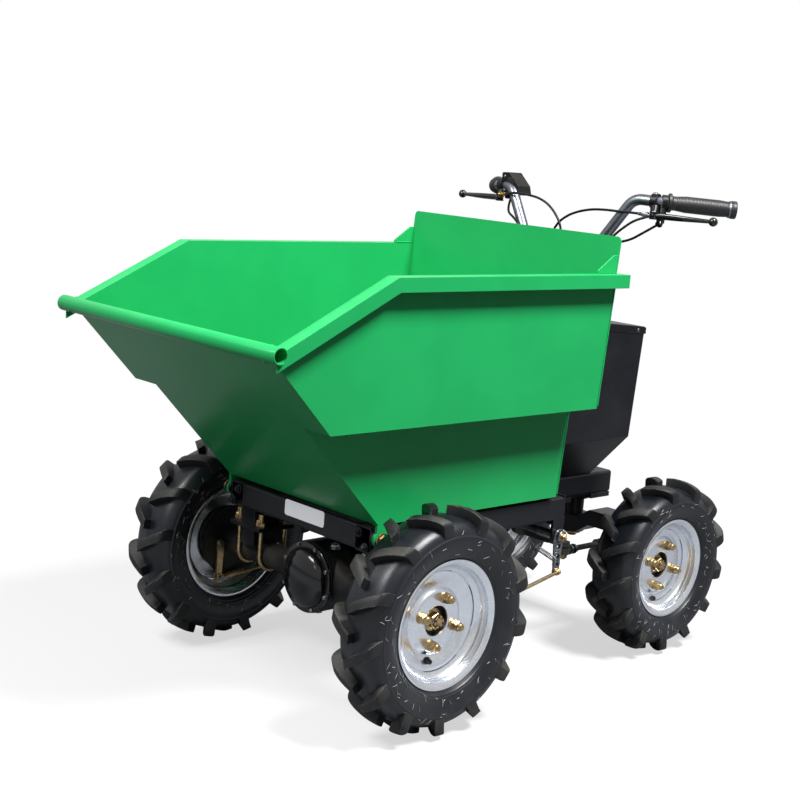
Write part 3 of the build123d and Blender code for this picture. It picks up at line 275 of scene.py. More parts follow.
def painted(name, colour, rough, wear=0.5, worn=(96, 96, 98), dust=0.25, dusty=(150, 140, 122),
            peel=420.0, depth=0.00012, coat=0.0, spread=0.16, low=0.0, specular=0.25, glow=0.0):
    """Sprayed or moulded skin: tone drifts slowly, edges wear through, and dust lies on top.

    Colours are written in 0...255. Wear, dust and low (the splash near the ground) are shares, peel is
    the scale of the skin's grain and depth its relief in metres, spread is the drift of the tone, and
    glow is a pale face's own light.
    """
    material, tree, shader = start_material(name, coat=coat, specular=specular)
    shader.inputs["Emission Color"].default_value = linear(*colour)
    shader.inputs["Emission Strength"].default_value = glow
    skin = use_group(tree, "orange_peel", Scale=peel)
    middle = np.array(linear(*colour)[:3])
    deep = (*(middle * (1 - spread)).tolist(), 1.0)
    pale = (*np.minimum(1.0, middle * (1 + spread)).tolist(), 1.0)
    tone = ramp(tree, skin.outputs["Tone"], (0.35, 0.65, 0.0, 1.0))
    shade = mix_colour(tree, tone, deep, pale)
    edge = use_group(tree, "edge_wear", Amount=wear)
    shade = mix_colour(tree, edge.outputs[0], shade, linear(*worn))
    gloss = math_node(tree, "MULTIPLY_ADD", skin.outputs["Tone"], PAINT_DRIFT, rough - PAINT_DRIFT / 2)
    lay_dust(tree, shader, shade, gloss, dust, dusty, low)
    add_bump(tree, shader, skin.outputs["Height"], depth)
    return material


def plated(name, colour, dark, rough, scale=90.0, dust=0.15, depth=0.00008):
    """Zinc or chrome plate: spangled tone, cloudy gloss, a little dust."""
    material, tree, shader = start_material(name, metallic=1.0)
    plate = use_group(tree, "spangle", Scale=scale)
    tone = ramp(tree, plate.outputs["Tone"], (0.2, 0.8, 0.0, 1.0))
    shade = mix_colour(tree, tone, linear(*dark), linear(*colour))
    gloss = math_node(tree, "MULTIPLY_ADD", tone, -PLATE_DRIFT, rough + PLATE_DRIFT / 2)
    lay_dust(tree, shader, shade, gloss, dust, (126, 120, 110))
    add_bump(tree, shader, plate.outputs["Height"], depth)
    return material


PAINTS = {
    "green_paint": dict(colour=(32, 168, 92), rough=0.30, wear=0.30, worn=(96, 150, 112), dust=0.05,
                        dusty=(150, 168, 140), coat=0.06, spread=0.035, specular=0.16),
    "black_paint": dict(colour=(24, 26, 31), rough=0.34, worn=(92, 92, 96), dust=0.15, low=0.35),
    "cast_black": dict(colour=(18, 18, 20), rough=0.46, wear=0.4, dust=0.15, peel=220.0, depth=0.0004,
                       low=0.3),
    "box_black": dict(colour=(22, 24, 29), rough=0.30, wear=0.4, dust=0.12),
    "plastic_black": dict(colour=(10, 10, 13), rough=0.34, wear=0.1, dust=0.08, peel=900.0),
    "grip_rubber": dict(colour=(22, 22, 26), rough=0.42, wear=0.1, dust=0.06, peel=1200.0, specular=0.5),
    "gloss_black": dict(colour=(8, 9, 12), rough=0.12, wear=0.1, dusty=(86, 80, 68), low=0.5, coat=0.6),
    "tyre_rubber": dict(colour=(11, 15, 24), rough=0.34, wear=0.3, worn=(96, 99, 104), dust=0.10,
                        dusty=(104, 104, 98), peel=500.0, depth=0.0002, low=0.12, specular=0.5),
    "lug_rubber": dict(colour=(17, 18, 21), rough=0.52, wear=0.9, worn=(150, 150, 144), dust=0.35,
                       dusty=(112, 109, 98), depth=0.0004, low=0.2, specular=0.4),
    "nib_rubber": dict(colour=(168, 168, 162), rough=0.5, wear=0.0),
    "label_white": dict(colour=(232, 233, 238), rough=0.35, wear=0.0, dust=0.1, spread=0.02, glow=0.28),
}
PLATINGS = {
    "rim_zinc": dict(colour=(238, 241, 246), dark=(222, 226, 232), rough=0.25, scale=340.0, depth=0.0006,
                     dust=0.05),
    "zinc_gold": dict(colour=(198, 174, 130), dark=(152, 128, 90), rough=0.36, scale=260.0, depth=0.0002),
    "bar_chrome": dict(colour=(132, 134, 142), dark=(108, 110, 120), rough=0.36, depth=0.0002),
    "brass": dict(colour=(196, 160, 84), dark=(150, 118, 60), rough=0.28, scale=300.0),
    "bare_steel": dict(colour=(150, 152, 156), dark=(98, 100, 104), rough=0.34),
}
looks = {name: painted(name, **values) for name, values in PAINTS.items()}
looks.update({name: plated(name, **values) for name, values in PLATINGS.items()})

FINISHES = {
    "green_paint": "tub tub_rim_left tub_rim_right lip_tube board_gussets hinge_ears",
    "black_paint": "side_rail_left side_rail_right front_cross_member rear_cross_member spine_frame "
                   "king_plate column_bearing axle_mounts rear_beam drag_link steering_column "
                   "column_collar",
    "cast_black": "axle_housing diff_cover drive_motor brake_backplates",
    "box_black": "battery_case battery_pack",
    "plastic_black": "throttle_housing lever_perch_left lever_perch_right rest_pads brake_blade_left "
                     "brake_blade_right bar_clamp bar_switch brake_cable_right brake_cable_left "
                     "throttle_cable switch_cable bar_wire",
    "grip_rubber": "grip_left grip_right",
    "zinc_gold": "u_bolts brake_levers brake_cranks brake_rods "
                 "front_hub_left front_hub_right rear_hub_left rear_hub_right",
    "bare_steel": "brake_shaft",
    "bar_chrome": "handlebar",
    "tyre_rubber": "front_tyre_left front_tyre_right rear_tyre_left rear_tyre_right",
    "rim_zinc": "front_rim_left front_rim_right rear_rim_left rear_rim_right",
}
for look, names in FINISHES.items():
    for name in names.split():
        slots = nodes[name].data.materials
        slots.clear()
        slots.append(looks[look])


def soften(names, width):
    """Round the sharp edges of CAD nodes by a welded and bevelled copy of their own faces."""
    for name in names.split():
        weld_points = nodes[name].modifiers.new("weld", "WELD")
        weld_points.merge_threshold = 0.00002
        bevel = nodes[name].modifiers.new("soft_edges", "BEVEL")
        bevel.width = width
        bevel.segments = 2
        bevel.limit_method = "ANGLE"
        bevel.angle_limit = np.radians(32.0)
        bevel.harden_normals = True


soften("tub tub_rim_left tub_rim_right board_gussets lip_tube", 0.0009)
soften("front_cross_member rear_cross_member side_rail_left side_rail_right battery_case rear_beam", 0.0012)
soften("throttle_housing bar_clamp brake_levers brake_cranks hinge_ears axle_mounts king_plate", 0.0007)


# ---------------------------------------------------------------- surfaces worked out with numpy
# A part is (vertices (n, 3), list of face arrays (m, k)); a piece is made of one or more closed parts.
# An outline of a turned shape is a list of (distance along the axis, radius).


def smooth_path(points, steps):
    """Points of a curve through the given ones: cubic Hermite pieces with half-chord slopes."""
    points = np.array(points, float)
    slope = np.empty_like(points)
    slope[1:-1] = (points[2:] - points[:-2]) / 2
    slope[0] = points[1] - points[0]
    slope[-1] = points[-1] - points[-2]
    share = np.linspace(0, len(points) - 1, steps)
    index = np.minimum(share.astype(int), len(points) - 2)
    t = (share - index)[:, None]
    a, b, p, q = points[index], points[index + 1], slope[index], slope[index + 1]
    ease = 3 * t**2 - 2 * t**3
    return (1 - ease) * a + (t**3 - 2 * t**2 + t) * p + ease * b + (t**3 - t**2) * q


def grid_faces(rows, columns, wrap_rows=False, wrap_columns=False):
    """Quads between neighbours of a grid of rows x columns vertices."""
    i = np.arange(rows if wrap_rows else rows - 1)[:, None]
    j = np.arange(columns if wrap_columns else columns - 1)[None, :]
    k, m = (i + 1) % rows, (j + 1) % columns
    corners = (i * columns + j, k * columns + j, k * columns + m, i * columns + m)
    return np.stack(np.broadcast_arrays(*corners), axis=-1).reshape(-1, 4)


def tube_faces(rows, columns, loop=False):
    """Faces of rings carried along a path: quads, and a flat face over each end of an open one."""
    if loop:
        return [grid_faces(rows, columns, True, True)]
    ends = np.stack((np.arange(columns), (rows - 1) * columns + np.arange(columns)))
    return [grid_faces(rows, columns, False, True), ends]


def round_axle(x, radius, angle):
    """Points x along the X axis, at a radius from it, turned by an angle from the top towards +Y."""
    grid = np.broadcast_arrays(x, radius * np.sin(angle), radius * np.cos(angle))
    return np.stack(grid, axis=-1).reshape(-1, 3)


def turned(outline, steps, loop=False):
    """Outline carried round the X axis."""
    outline = np.array(outline, float)
    angle = np.linspace(0, 2 * np.pi, steps, endpoint=False)
    return round_axle(outline[:, :1], outline[:, 1:], angle), tube_faces(len(outline), steps, loop)


def collar(low, high, hole, outer, along, drop):
    """Outline of a ring from low to high, whose outer edges are cut back by along and by drop."""
    return ((low, hole), (low, outer - drop), (low + along, outer), (high - along, outer),
            (high, outer - drop), (high, hole))


def prism(sides, radius, low, high, bevel, turn=0.0):
    """Regular prism along X from low to high with a bevel round both ends."""
    angle = turn + np.arange(sides) * 2 * np.pi / sides
    outline = ((low, radius - bevel), (low + bevel, radius), (high - bevel, radius), (high, radius - bevel))
    outline = np.array(outline)
    return round_axle(outline[:, :1], outline[:, 1:], angle), tube_faces(4, sides)


def plate(half_y, half_z, corner, low, high, bevel):
    """Rounded rectangle across X, carried from low to high, with a bevel round both faces."""
    quarter = np.concatenate([np.linspace(0, np.pi / 2, 6) + k * np.pi / 2 for k in range(4)])
    centre_y = np.repeat((half_y - corner) * np.array((1, -1, -1, 1)), 6)
    centre_z = np.repeat((half_z - corner) * np.array((1, 1, -1, -1)), 6)
    rows = ((low, corner - bevel), (low + bevel, corner), (high - bevel, corner), (high, corner - bevel))
    rows = np.array(rows)
    y = centre_y + rows[:, 1:] * np.cos(quarter)
    z = centre_z + rows[:, 1:] * np.sin(quarter)
    points = np.stack((np.broadcast_to(rows[:, :1], y.shape), y, z), axis=-1)
    return points.reshape(-1, 3), tube_faces(4, 24)


def swept(line, radius, sides, up=(1.0, 0.0, 0.0)):
    """Round section carried along a line; its frame comes from the tangent and a fixed direction."""
    line = np.asarray(line, float)
    tangent = np.gradient(line, axis=0)
    tangent /= np.linalg.norm(tangent, axis=1, keepdims=True)
    first = np.cross(tangent, np.array(up, float))
    first /= np.linalg.norm(first, axis=1, keepdims=True)
    second = np.cross(tangent, first)
    angle = np.linspace(0, 2 * np.pi, sides, endpoint=False)
    radius = np.broadcast_to(np.asarray(radius, float), (len(line),))[:, None, None]
    ring = first[:, None] * np.cos(angle)[None, :, None] + second[:, None] * np.sin(angle)[None, :, None]
    return (line[:, None] + radius * ring).reshape(-1, 3), tube_faces(len(line), sides)


STRAP_SIDES = 16


def strap(line, half_high, half_deep):
    """Flat rounded bar along a line: an ellipse that stands upright, its halves given at each point."""
    line = np.asarray(line, float)
    tangent = np.gradient(line, axis=0)
    tangent /= np.linalg.norm(tangent, axis=1, keepdims=True)
    flat = np.cross(tangent, (0.0, 0.0, 1.0))
    flat /= np.linalg.norm(flat, axis=1, keepdims=True)
    high = np.cross(flat, tangent)
    angle = np.linspace(0, 2 * np.pi, STRAP_SIDES, endpoint=False)
    cos, sin = np.cos(angle), np.sin(angle)
    cos, sin = np.sign(cos) * np.abs(cos) ** 0.8, np.sign(sin) * np.abs(sin) ** 0.8
    ring = (flat[:, None] * (np.asarray(half_deep)[:, None] * cos)[..., None]
            + high[:, None] * (np.asarray(half_high)[:, None] * sin)[..., None])
    return (line[:, None] + ring).reshape(-1, 3), tube_faces(len(line), STRAP_SIDES)


def moved(part, *places):
    """Copies of a part, each moved to one of the places (3 numbers) or by a 4 x 4 matrix."""
    points, faces = part
    shifted, joined = [], [[] for _ in faces]
    for copy, place in enumerate(places):
        place = np.array(place, float)
        here = points + place if place.shape == (3,) else points @ place[:3, :3].T + place[:3, 3]
        shifted.append(here)
        for kind, face in zip(joined, faces):
            kind.append(face + copy * len(points))
    return np.concatenate(shifted), [np.concatenate(kind) for kind in joined]


def mirrored(part, side):
    """The part for side 1, or its mirror image in the plane X = 0 for side -1."""
    points, faces = part
    return points * (side, 1, 1), faces


def aimed(origin, axis):
    """Matrix that lays a part's X axis along a direction and moves its origin to a point."""
    run = np.array(axis, float) / np.linalg.norm(axis)
    side = np.cross((0.0, 0.0, 1.0), run)
    if np.linalg.norm(side) < 0.01:
        side = np.cross((0.0, 1.0, 0.0), run)
    side /= np.linalg.norm(side)
    place = np.eye(4)
    place[:3, :3] = np.stack((run, side, np.cross(run, side)), axis=1)
    place[:3, 3] = origin
    return place


def both_sides(*places):
    """Places (point, direction) and their mirror images in the plane X = 0."""
    flips = [np.array((side, 1, 1)) for side in (1, -1)]
    return [(np.array(point) * flip, np.array(axis) * flip) for flip in flips for point, axis in places]


def make_piece(name, parts, look, body, angle=35.0, replaced=()):
    """A mesh object from closed parts, faces outwards, smooth up to an angle, riding on a body."""
    vertices = np.concatenate([points for points, _ in parts])
    loops, sizes, offset = [], [], 0
    for points, kinds in parts:
        for faces in kinds:
            loops.append((faces + offset).ravel())
            sizes.append(np.full(len(faces), faces.shape[1]))
        offset += len(points)
    loops, sizes = np.concatenate(loops), np.concatenate(sizes)
    starts = np.concatenate(([0], np.cumsum(sizes)[:-1]))
    mesh = bpy.data.meshes.new(name)
    mesh.vertices.add(len(vertices))
    mesh.vertices.foreach_set("co", vertices.ravel().astype(np.float32))
    mesh.loops.add(len(loops))
    mesh.loops.foreach_set("vertex_index", loops.astype(np.int32))
    mesh.polygons.add(len(sizes))
    mesh.polygons.foreach_set("loop_start", starts.astype(np.int32))
    mesh.update(calc_edges=True)
    shell = bmesh.new()
    shell.from_mesh(mesh)
    bmesh.ops.recalc_face_normals(shell, faces=shell.faces)
    shell.to_mesh(mesh)
    shell.free()
    mesh.polygons.foreach_set("use_smooth", np.ones(len(mesh.polygons), bool))
    mesh.set_sharp_from_angle(angle=np.radians(angle))
    mesh.materials.append(looks[look])
    piece = bpy.data.objects.new(name, mesh)
    bpy.context.scene.collection.objects.link(piece)
    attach(piece, body)
    if replaced:
        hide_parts(*replaced)


# ---------------------------------------------------------------- wheels
# axle: (rim radius, where the drum starts across, drum radius)
WHEELS = {
    "front": (0.116, 0.273, 0.066),
    "rear": (0.103, 0.203, 0.046),
}
LUGS = 13
ROUND_STEPS = 120
WALL_STEPS = 64
TREAD_RISE = 0.0165  # height of the lugs over the carcass's crown
# wall of the carcass: (across, share of the way from the rim to the crown), and the ridges' shares
WALL = ((0.0408, 0.10), (0.0466, 0.26), (0.0500, 0.46), (0.0492, 0.64), (0.0430, 0.82), (0.0290, 0.945))
RIDGES = (0.10, 0.17, 0.62)
# a lug's top line: (across, drop below the tyre's radius) from just past the tread's middle to the wall
LUG_TOP = ((-0.0055, 0.0001), (0.008, 0.0001), (0.022, 0.0010), (0.036, 0.0042), (0.0465, 0.0092),
           (0.0506, 0.0150), (0.0512, 0.0240))
# how far its middle line runs along the tread, and its half width by share of its length
LUG_RUN = (-0.0235, -0.012, -0.001, 0.008, 0.0135, 0.0165, 0.018)
LUG_HALF_WIDTH = ((0, 0.35, 0.7, 1), (0.0085, 0.0098, 0.0118, 0.0150))
# its section: (share of the half width, share of the height)
LUG_SECTION = ((-1.20, 0.0), (-1.035, 0.93), (-1.0, 0.975), (-0.90, 1.0), (0.0, 1.0),
               (0.90, 1.0), (1.0, 0.975), (1.035, 0.93), (1.20, 0.0))
NIBS = 170
NIB_SEED = 11
# rings of a nib: (share of its length, half thickness, lift off the wall)
NIB_RINGS = ((0.0, 0.00050, 0.0), (0.55, 0.00045, 0.0005), (1.0, 0.00022, 0.0007))
DISC_OUT = 0.010  # the disc's face, from the wheel's middle plane
DISC_THICK = 0.0040
HUB_FACE = DISC_OUT - 0.004
NUT_SEAT = HUB_FACE - 0.010
AXLE_BORE = 0.0156
STUD_CIRCLE = 0.043
FIRST_STUD_DEGREES = 17.6
VALVE_CIRCLE = 0.0715
VALVE_DEGREES = 190


def carcass_profile(radius, rim):
    """Section of a tyre as (across, radius): a round crown over bulged walls with moulded ridges.

    A wall is a smooth curve through its points, and each ridge adds a narrow bell curve of the radius.
    """
    crown = radius - TREAD_RISE
    rise = crown - rim
    wall = [(x, rim + share * rise) for x, share in WALL]
    half = smooth_path([(0.0360, rim + 0.001), *wall, (0.0, crown)], WALL_STEPS)
    ridge = sum(np.exp(-(((half[:, 1] - rim - share * rise) / 0.0011) ** 2)) for share in RIDGES)
    half[:, 0] += 0.0008 * ridge
    back = half[::-1][1:] * (-1, 1)
    bead = ((-0.0350, rim - 0.003), (-0.030, rim - 0.006), (0.030, rim - 0.006), (0.0350, rim - 0.003))
    return np.concatenate((half, back, smooth_path(bead, 8)))


def lug_surface(radius, rim, row):
    """One lug: a rounded trapezium carried out from the tread's middle and down over the shoulder.

    The top line runs in (across, radius), the line along the tread turns by its share of the lug's
    length, and each section reaches from that top line to a line inside the carcass.
    """
    wall = rim + 0.52 * (radius - rim)
    top = [(x, radius - drop) for x, drop in LUG_TOP]
    top = smooth_path([*top, (0.0495, wall + 0.002), (0.0470, wall - 0.006)], 21)
    run = smooth_path([(step,) for step in LUG_RUN], len(top))[:, 0]
    half_width = np.interp(np.linspace(0, 1, len(top)), *LUG_HALF_WIDTH)
    inside = np.array((0.0, wall - 0.012))
    foot = inside + (top - inside) * 0.66
    rows = np.concatenate(([0], np.arange(len(top))))
    level = np.concatenate(([0.0, 0.95], np.ones(len(top) - 1)))
    across, height = np.array(LUG_SECTION).T
    section = foot[rows, None] + (top - foot)[rows, None] * (level[:, None] * height)[..., None]
    angle = (run[rows, None] + across * half_width[rows, None]) / radius
    x = (1 - 2 * row) * section[..., 0]
    return round_axle(x, section[..., 1], angle), tube_faces(len(rows), len(across))


def turn_about_x(angle):
    """Matrix of a turn about the X axis; a point at the top moves towards +Y for a positive angle."""
    turn = np.eye(4)
    turn[1:3, 1:3] = ((np.cos(angle), np.sin(angle)), (-np.sin(angle), np.cos(angle)))
    return turn


def on_wheel(degrees, across, out):
    """Matrix that turns a part about the wheel's axle, with its origin across and out from the centre."""
    place = turn_about_x(np.radians(degrees))
    place[:3, 3] = place[:3, :3] @ np.array((across, 0.0, out))
    return place


def carcass_parts(radius, rim):
    """The tyre's carcass as one closed section."""
    return [turned(carcass_profile(radius, rim), ROUND_STEPS, loop=True)]


def lug_parts(radius, rim):
    """Two rows of lugs, the second half a pitch on; a lug of the first stands at the bottom."""
    rows = []
    for row in (0, 1):
        angles = (np.arange(LUGS) + row / 2) * 2 * np.pi / LUGS + np.pi
        rows.append(moved(lug_surface(radius, rim, row), *[turn_about_x(angle) for angle in angles]))
    return rows


def nib_parts(radius, rim, seed):
    """Moulding nibs lying on both walls: four-sided needles with a seeded place, length and lean.

    A needle is three square rings along its run; each corner has its own radius and angle, and its
    distance across is the wall's at that radius and a little more.
    """
    rng = np.random.default_rng(seed)
    wall = carcass_profile(radius, rim)[:WALL_STEPS]
    level = rng.uniform(rim + 0.008, rim + 0.72 * (radius - TREAD_RISE - rim), NIBS)
    around = rng.uniform(0, 2 * np.pi, NIBS)
    lean = rng.normal(0.0, 0.9, NIBS)
    length = rng.uniform(0.006, 0.0125, NIBS)
    side = np.where(np.arange(NIBS) % 2, 1.0, -1.0)
    drawn = (level, around, lean, length, side)
    level, around, lean, length, side = [values[:, None, None] for values in drawn]
    spot, half, lift = [column[:, None] for column in np.array(NIB_RINGS).T]
    corner = np.array(((1, 0), (0, 1), (-1, 0), (0, -1)))
    along, aside = spot * length, half * corner[:, 0]
    reach = level + (along * np.sin(lean) - aside * np.cos(lean))
    angle = around + (along * np.cos(lean) + aside * np.sin(lean)) / level
    x = side * (np.interp(reach, wall[:, 1], wall[:, 0]) + 0.0002 + lift + half * corner[:, 1])
    first = np.arange(NIBS)[:, None, None] * len(NIB_RINGS) * len(corner)
    kinds = tube_faces(len(NIB_RINGS), len(corner))
    return [(round_axle(x, reach, angle), [(kind + first).reshape(-1, kind.shape[1]) for kind in kinds])]


def rim_parts(rim):
    """Pressed rim: a band with flanges, seats and well, a dished disc with a ring, and four weld beads."""
    seat, well = rim - 0.008, rim - 0.022
    flange = [(0.0352, rim - 0.0045), (0.0362, rim - 0.001), (0.0374, rim), (0.0380, rim - 0.0012),
              (0.0380, rim - 0.0030), (0.0372, rim - 0.0052), (0.0350, seat - 0.0012)]
    front = [(0.0345, seat - 0.0005), *flange, (0.0330, seat - 0.0042), (0.0290, seat - 0.0050),
             (0.0240, seat - 0.0054), (0.0234, seat - 0.0066), (0.0180, seat - 0.0074),
             (0.0160, seat - 0.0090), (0.0125, well + 0.0010), (0.0110, well - 0.0035)]
    back = [(-0.0110, well - 0.0040), (-0.0130, well + 0.0005), (-0.0170, seat - 0.0070),
            (-0.0330, seat - 0.0042), *[(-x, r) for x, r in flange[::-1]]]
    bed = [(-0.0345, seat), (-0.0140, seat), (-0.0080, well), (0.0080, well), (0.0140, seat)]
    band = turned(front + back + bed, ROUND_STEPS, loop=True)
    edge = well - 0.0045
    # the disc's face as (depth behind its highest plane, radius), from its edge to the middle hole
    face = [(0.0030, edge), (0.0008, edge), (0.0, edge - 0.0010), (0.0004, edge - 0.006),
            (0.0016, edge - 0.011), (0.0062, 0.0655), (0.0074, 0.0625), (0.0066, 0.0595), (0.0022, 0.0560),
            (0.0004, 0.0530), (0.0, 0.0500), (0.0, 0.0320), (0.0003, 0.0290), (0.0015, 0.0272),
            (0.0040, 0.0270)]
    rear = [(0.0042, 0.0275), *[(depth + DISC_THICK, r) for depth, r in face[-3::-1]]]
    disc = turned([(DISC_OUT - depth, r) for depth, r in face + rear], ROUND_STEPS, loop=True)
    return [band, disc, disc_weld(edge)]


def disc_weld(edge):
    """Four short beads round the disc's edge: a ring whose thickness ripples along an arc."""
    arc = np.linspace(-0.32, 0.32, 25)
    ring = np.linspace(0, 2 * np.pi, 8, endpoint=False)
    thick = (0.0019 + 0.0004 * np.sin(arc * 95))[:, None]
    x = DISC_OUT + 0.0002 + thick * np.sin(ring)
    reach = edge + 0.0006 + thick * np.cos(ring)
    bead = (round_axle(x, reach, arc[:, None]), tube_faces(len(arc), len(ring)))
    return moved(bead, *[turn_about_x(0.6 + k * np.pi / 2) for k in range(4)])


def nut_parts():
    """Long wheel nuts: a cone seat, a bevelled hexagon, a domed shank and the stud's end."""
    seat = turned(((-0.001, 0.0062), (-0.001, 0.0100), (0.0012, 0.0104), (0.0026, 0.0088),
                   (0.0026, 0.0062)), 24)
    hexagon = prism(6, 0.0096, 0.0022, 0.0140, 0.0011, 0.3)
    shank = turned(((0.0130, 0.0070), (0.0130, 0.0078), (0.0178, 0.0076), (0.0202, 0.0068),
                    (0.0214, 0.0054), (0.0216, 0.0046)), 24)
    rings = [(x, 0.0046 - 0.0004 * (k % 2)) for k, x in enumerate(np.linspace(0.0210, 0.0230, 9))]
    stud = turned([(0.0200, 0.0044), *rings, (0.0233, 0.0036)], 18)
    places = [on_wheel(FIRST_STUD_DEGREES + k * 90, DISC_OUT, STUD_CIRCLE) for k in range(4)]
    return [moved(part, *places) for part in (seat, hexagon, shank, stud)]


def valve_parts():
    """Valve stem: a rubber collar through the disc near its edge, which narrows to its cap."""
    stem = turned(((-0.004, 0.0060), (0.0, 0.0072), (0.0016, 0.0072), (0.0028, 0.0052), (0.0090, 0.0044),
                   (0.0100, 0.0034)), 24)
    return [moved(stem, on_wheel(VALVE_DEGREES, DISC_OUT - 0.0042, VALVE_CIRCLE))]


def axle_nut_parts():
    """Castle nut with its crown of six teeth, its washer and the axle's end.

    A tooth is a sector between two radii, carried along the axle and drawn in a little at its top.
    """
    top = NUT_SEAT + 0.0026
    washer = turned(((NUT_SEAT, 0.006), (NUT_SEAT, 0.0205), (NUT_SEAT + 0.0022, 0.0205), (top, 0.0195),
                     (top, 0.006)), 32)
    body = prism(6, 0.0148, top, NUT_SEAT + 0.0146, 0.0012, 0.1)
    arc = np.radians(np.linspace(0, 38, 6))
    angle = np.concatenate((arc, arc[::-1]))
    reach = np.repeat((0.0112, 0.0072), len(arc))
    rows = NUT_SEAT + np.array(((0.0140,), (0.0195,), (0.0200,)))
    draw = np.array(((1.0,), (1.0,), (0.97,)))
    tooth = (round_axle(rows, draw * reach, angle), tube_faces(len(rows), len(angle)))
    teeth = moved(tooth, *[on_wheel(60 * k, 0.0, 0.0) for k in range(6)])
    end = turned(((NUT_SEAT + 0.010, 0.0060), (NUT_SEAT + 0.0195, 0.0068), (NUT_SEAT + 0.0210, 0.0064),
                  (NUT_SEAT + 0.0216, 0.0050)), 24)
    return [washer, body, teeth, end]


def pin_parts():
    """Split pin: a round wire along Y with its two ends bent round the crown of the castle nut."""
    x = NUT_SEAT + 0.0172
    line = ((x + 0.002, -0.0135, 0.006), (x, -0.0130, 0.001), (x, -0.008, 0.0), (x, 0.008, 0.0),
            (x, 0.0128, -0.001), (x + 0.001, 0.0132, -0.0065), (x + 0.001, 0.0120, -0.0105))
    return [swept(smooth_path(line, 28), 0.0013, 8)]


def hub_parts(start, drum):
    """Hub casting: drum with two cooling ribs, flange, and the recess round the axle nut."""
    ribs = [(0.0, drum - 0.002), (0.002, drum), (0.006, drum), (0.007, drum - 0.002), (0.011, drum - 0.002),
            (0.012, drum), (0.016, drum), (0.0175, drum - 0.003), (0.024, drum - 0.004),
            (0.026, drum - 0.008), (0.027, 0.052)]
    flange = [(-0.010, 0.0500), (-0.007, 0.0530), (0.0, 0.0530), (0.0, 0.0270), (-0.001, 0.0260),
              (-0.009, 0.0255), (-0.010, 0.0240), (-0.010, AXLE_BORE)]
    ribs = [(start + x, r) for x, r in ribs]
    flange = [(HUB_FACE + x, r) for x, r in flange]
    return [turned([(start, AXLE_BORE), *ribs, *flange], 72, loop=True)]


def dress_wheels():
    """Every wheel's tyre, nibs, rim, hub, nuts and split pin, made on the left and mirrored."""
    for axle, (rim, drum_start, drum) in WHEELS.items():
        centre = pivots[f"{axle}_left_spin"]
        radius = centre[2]
        tyre, lugs, disc = carcass_parts(radius, rim), lug_parts(radius, rim), rim_parts(rim)
        hub = hub_parts(drum_start - centre[0], drum)
        for side_name, side in (("left", 1), ("right", -1)):
            tag = f"{axle}_{side_name}"
            nibs = nib_parts(radius, rim, NIB_SEED + 2 * len(axle) + side)
            # piece: (parts, look, smoothing angle, replaced nodes)
            pieces = {
                "tyre_carcass": (tyre, "tyre_rubber", 32, [f"{axle}_tyre_{side_name}"]),
                "tyre_lugs": (lugs, "lug_rubber", 32, ()),
                "valve": (valve_parts(), "plastic_black", 40, ()),
                "tyre_nibs": (nibs, "nib_rubber", 60, ()),
                "pressed_rim": (disc, "rim_zinc", 40, [f"{axle}_rim_{side_name}"]),
                "hub_casting": (hub, "cast_black", 40, [f"{axle}_hub_{side_name}"]),
                "wheel_nuts": (nut_parts(), "zinc_gold", 32, ()),
                "castle_nut": (axle_nut_parts(), "zinc_gold", 32, ()),
                "split_pin": (pin_parts(), "bare_steel", 60, ()),
            }
            for name, (parts, look, angle, replaced) in pieces.items():
                parts = [mirrored(moved(part, centre), side) for part in parts]
                make_piece(f"{name}_{tag}", parts, look, f"wheel_{tag}", angle, replaced)


# ---------------------------------------------------------------- fittings shared by the sub-parts
UP, DOWN, FORWARD, BACKWARD = (0, 0, 1), (0, 0, -1), (0, -1, 0), (0, 1, 0)


def thread(low, high, radius):
    """A bar's threaded end: rings that fall by 6 % of the radius and rise again, and a chamfer."""
    pitch = 0.0012
    along = np.arange(low, high - pitch, pitch / 2)
    rings = [(x, radius * (1 - 0.06 * (k % 2))) for k, x in enumerate(along)]
    return turned([*rings, (high - pitch / 2, radius * 0.95), (high, radius * 0.8)], 16)


def bolt_parts(places, radius, head, standout=0.0, washer=1.3):
    """Hexagon heads or nuts on washers, with a thread that stands out of them."""
    turns = [aimed(*place) for place in places]
    rim = radius * washer
    washer_top = 0.0012
    shapes = [
        turned(((-0.0008, rim), (0.0010, rim), (0.0014, rim * 0.95)), 24),
        prism(6, radius, washer_top, washer_top + head, radius * 0.10),
    ]
    if standout:
        shapes.append(thread(0.0005 + head, washer_top + head + standout, radius * 0.56))
    return [moved(shape, *turns) for shape in shapes]


def screw_parts(places, radius, height):
    """Domed screw heads with a socket: the dome is an arc turned about the screw, the socket a dip in it."""
    dome = [(height * np.sin(a), radius * np.cos(a) ** 0.6) for a in np.linspace(0, 1.25, 8)]
    socket = [(height, radius * 0.42), (height * 0.35, radius * 0.38), (height * 0.3, radius * 0.05)]
    outline = [(-0.0008, radius), *dome, *socket]
    return [moved(turned(outline, 24), *[aimed(*place) for place in places])]


def coil(start, end, radius, wire, turns):
    """Spring between two points: a round wire on a helix that narrows to a hook at each end."""
    length = np.linalg.norm(np.subtract(end, start))
    share = np.linspace(0, 1, turns * 14)
    angle = share * turns * 2 * np.pi
    swell = radius * np.minimum(1, np.minimum(share, 1 - share) * turns)
    line = np.stack((length * (0.08 + 0.84 * share), swell * np.cos(angle), swell * np.sin(angle)), axis=-1)
    line = np.concatenate(([[0, 0, 0.0001]], line, [[length, 0, 0.0001]]))
    return moved(swept(line, wire, 7, up=(0.02, 0.1, 1.0)), aimed(start, np.subtract(end, start)))


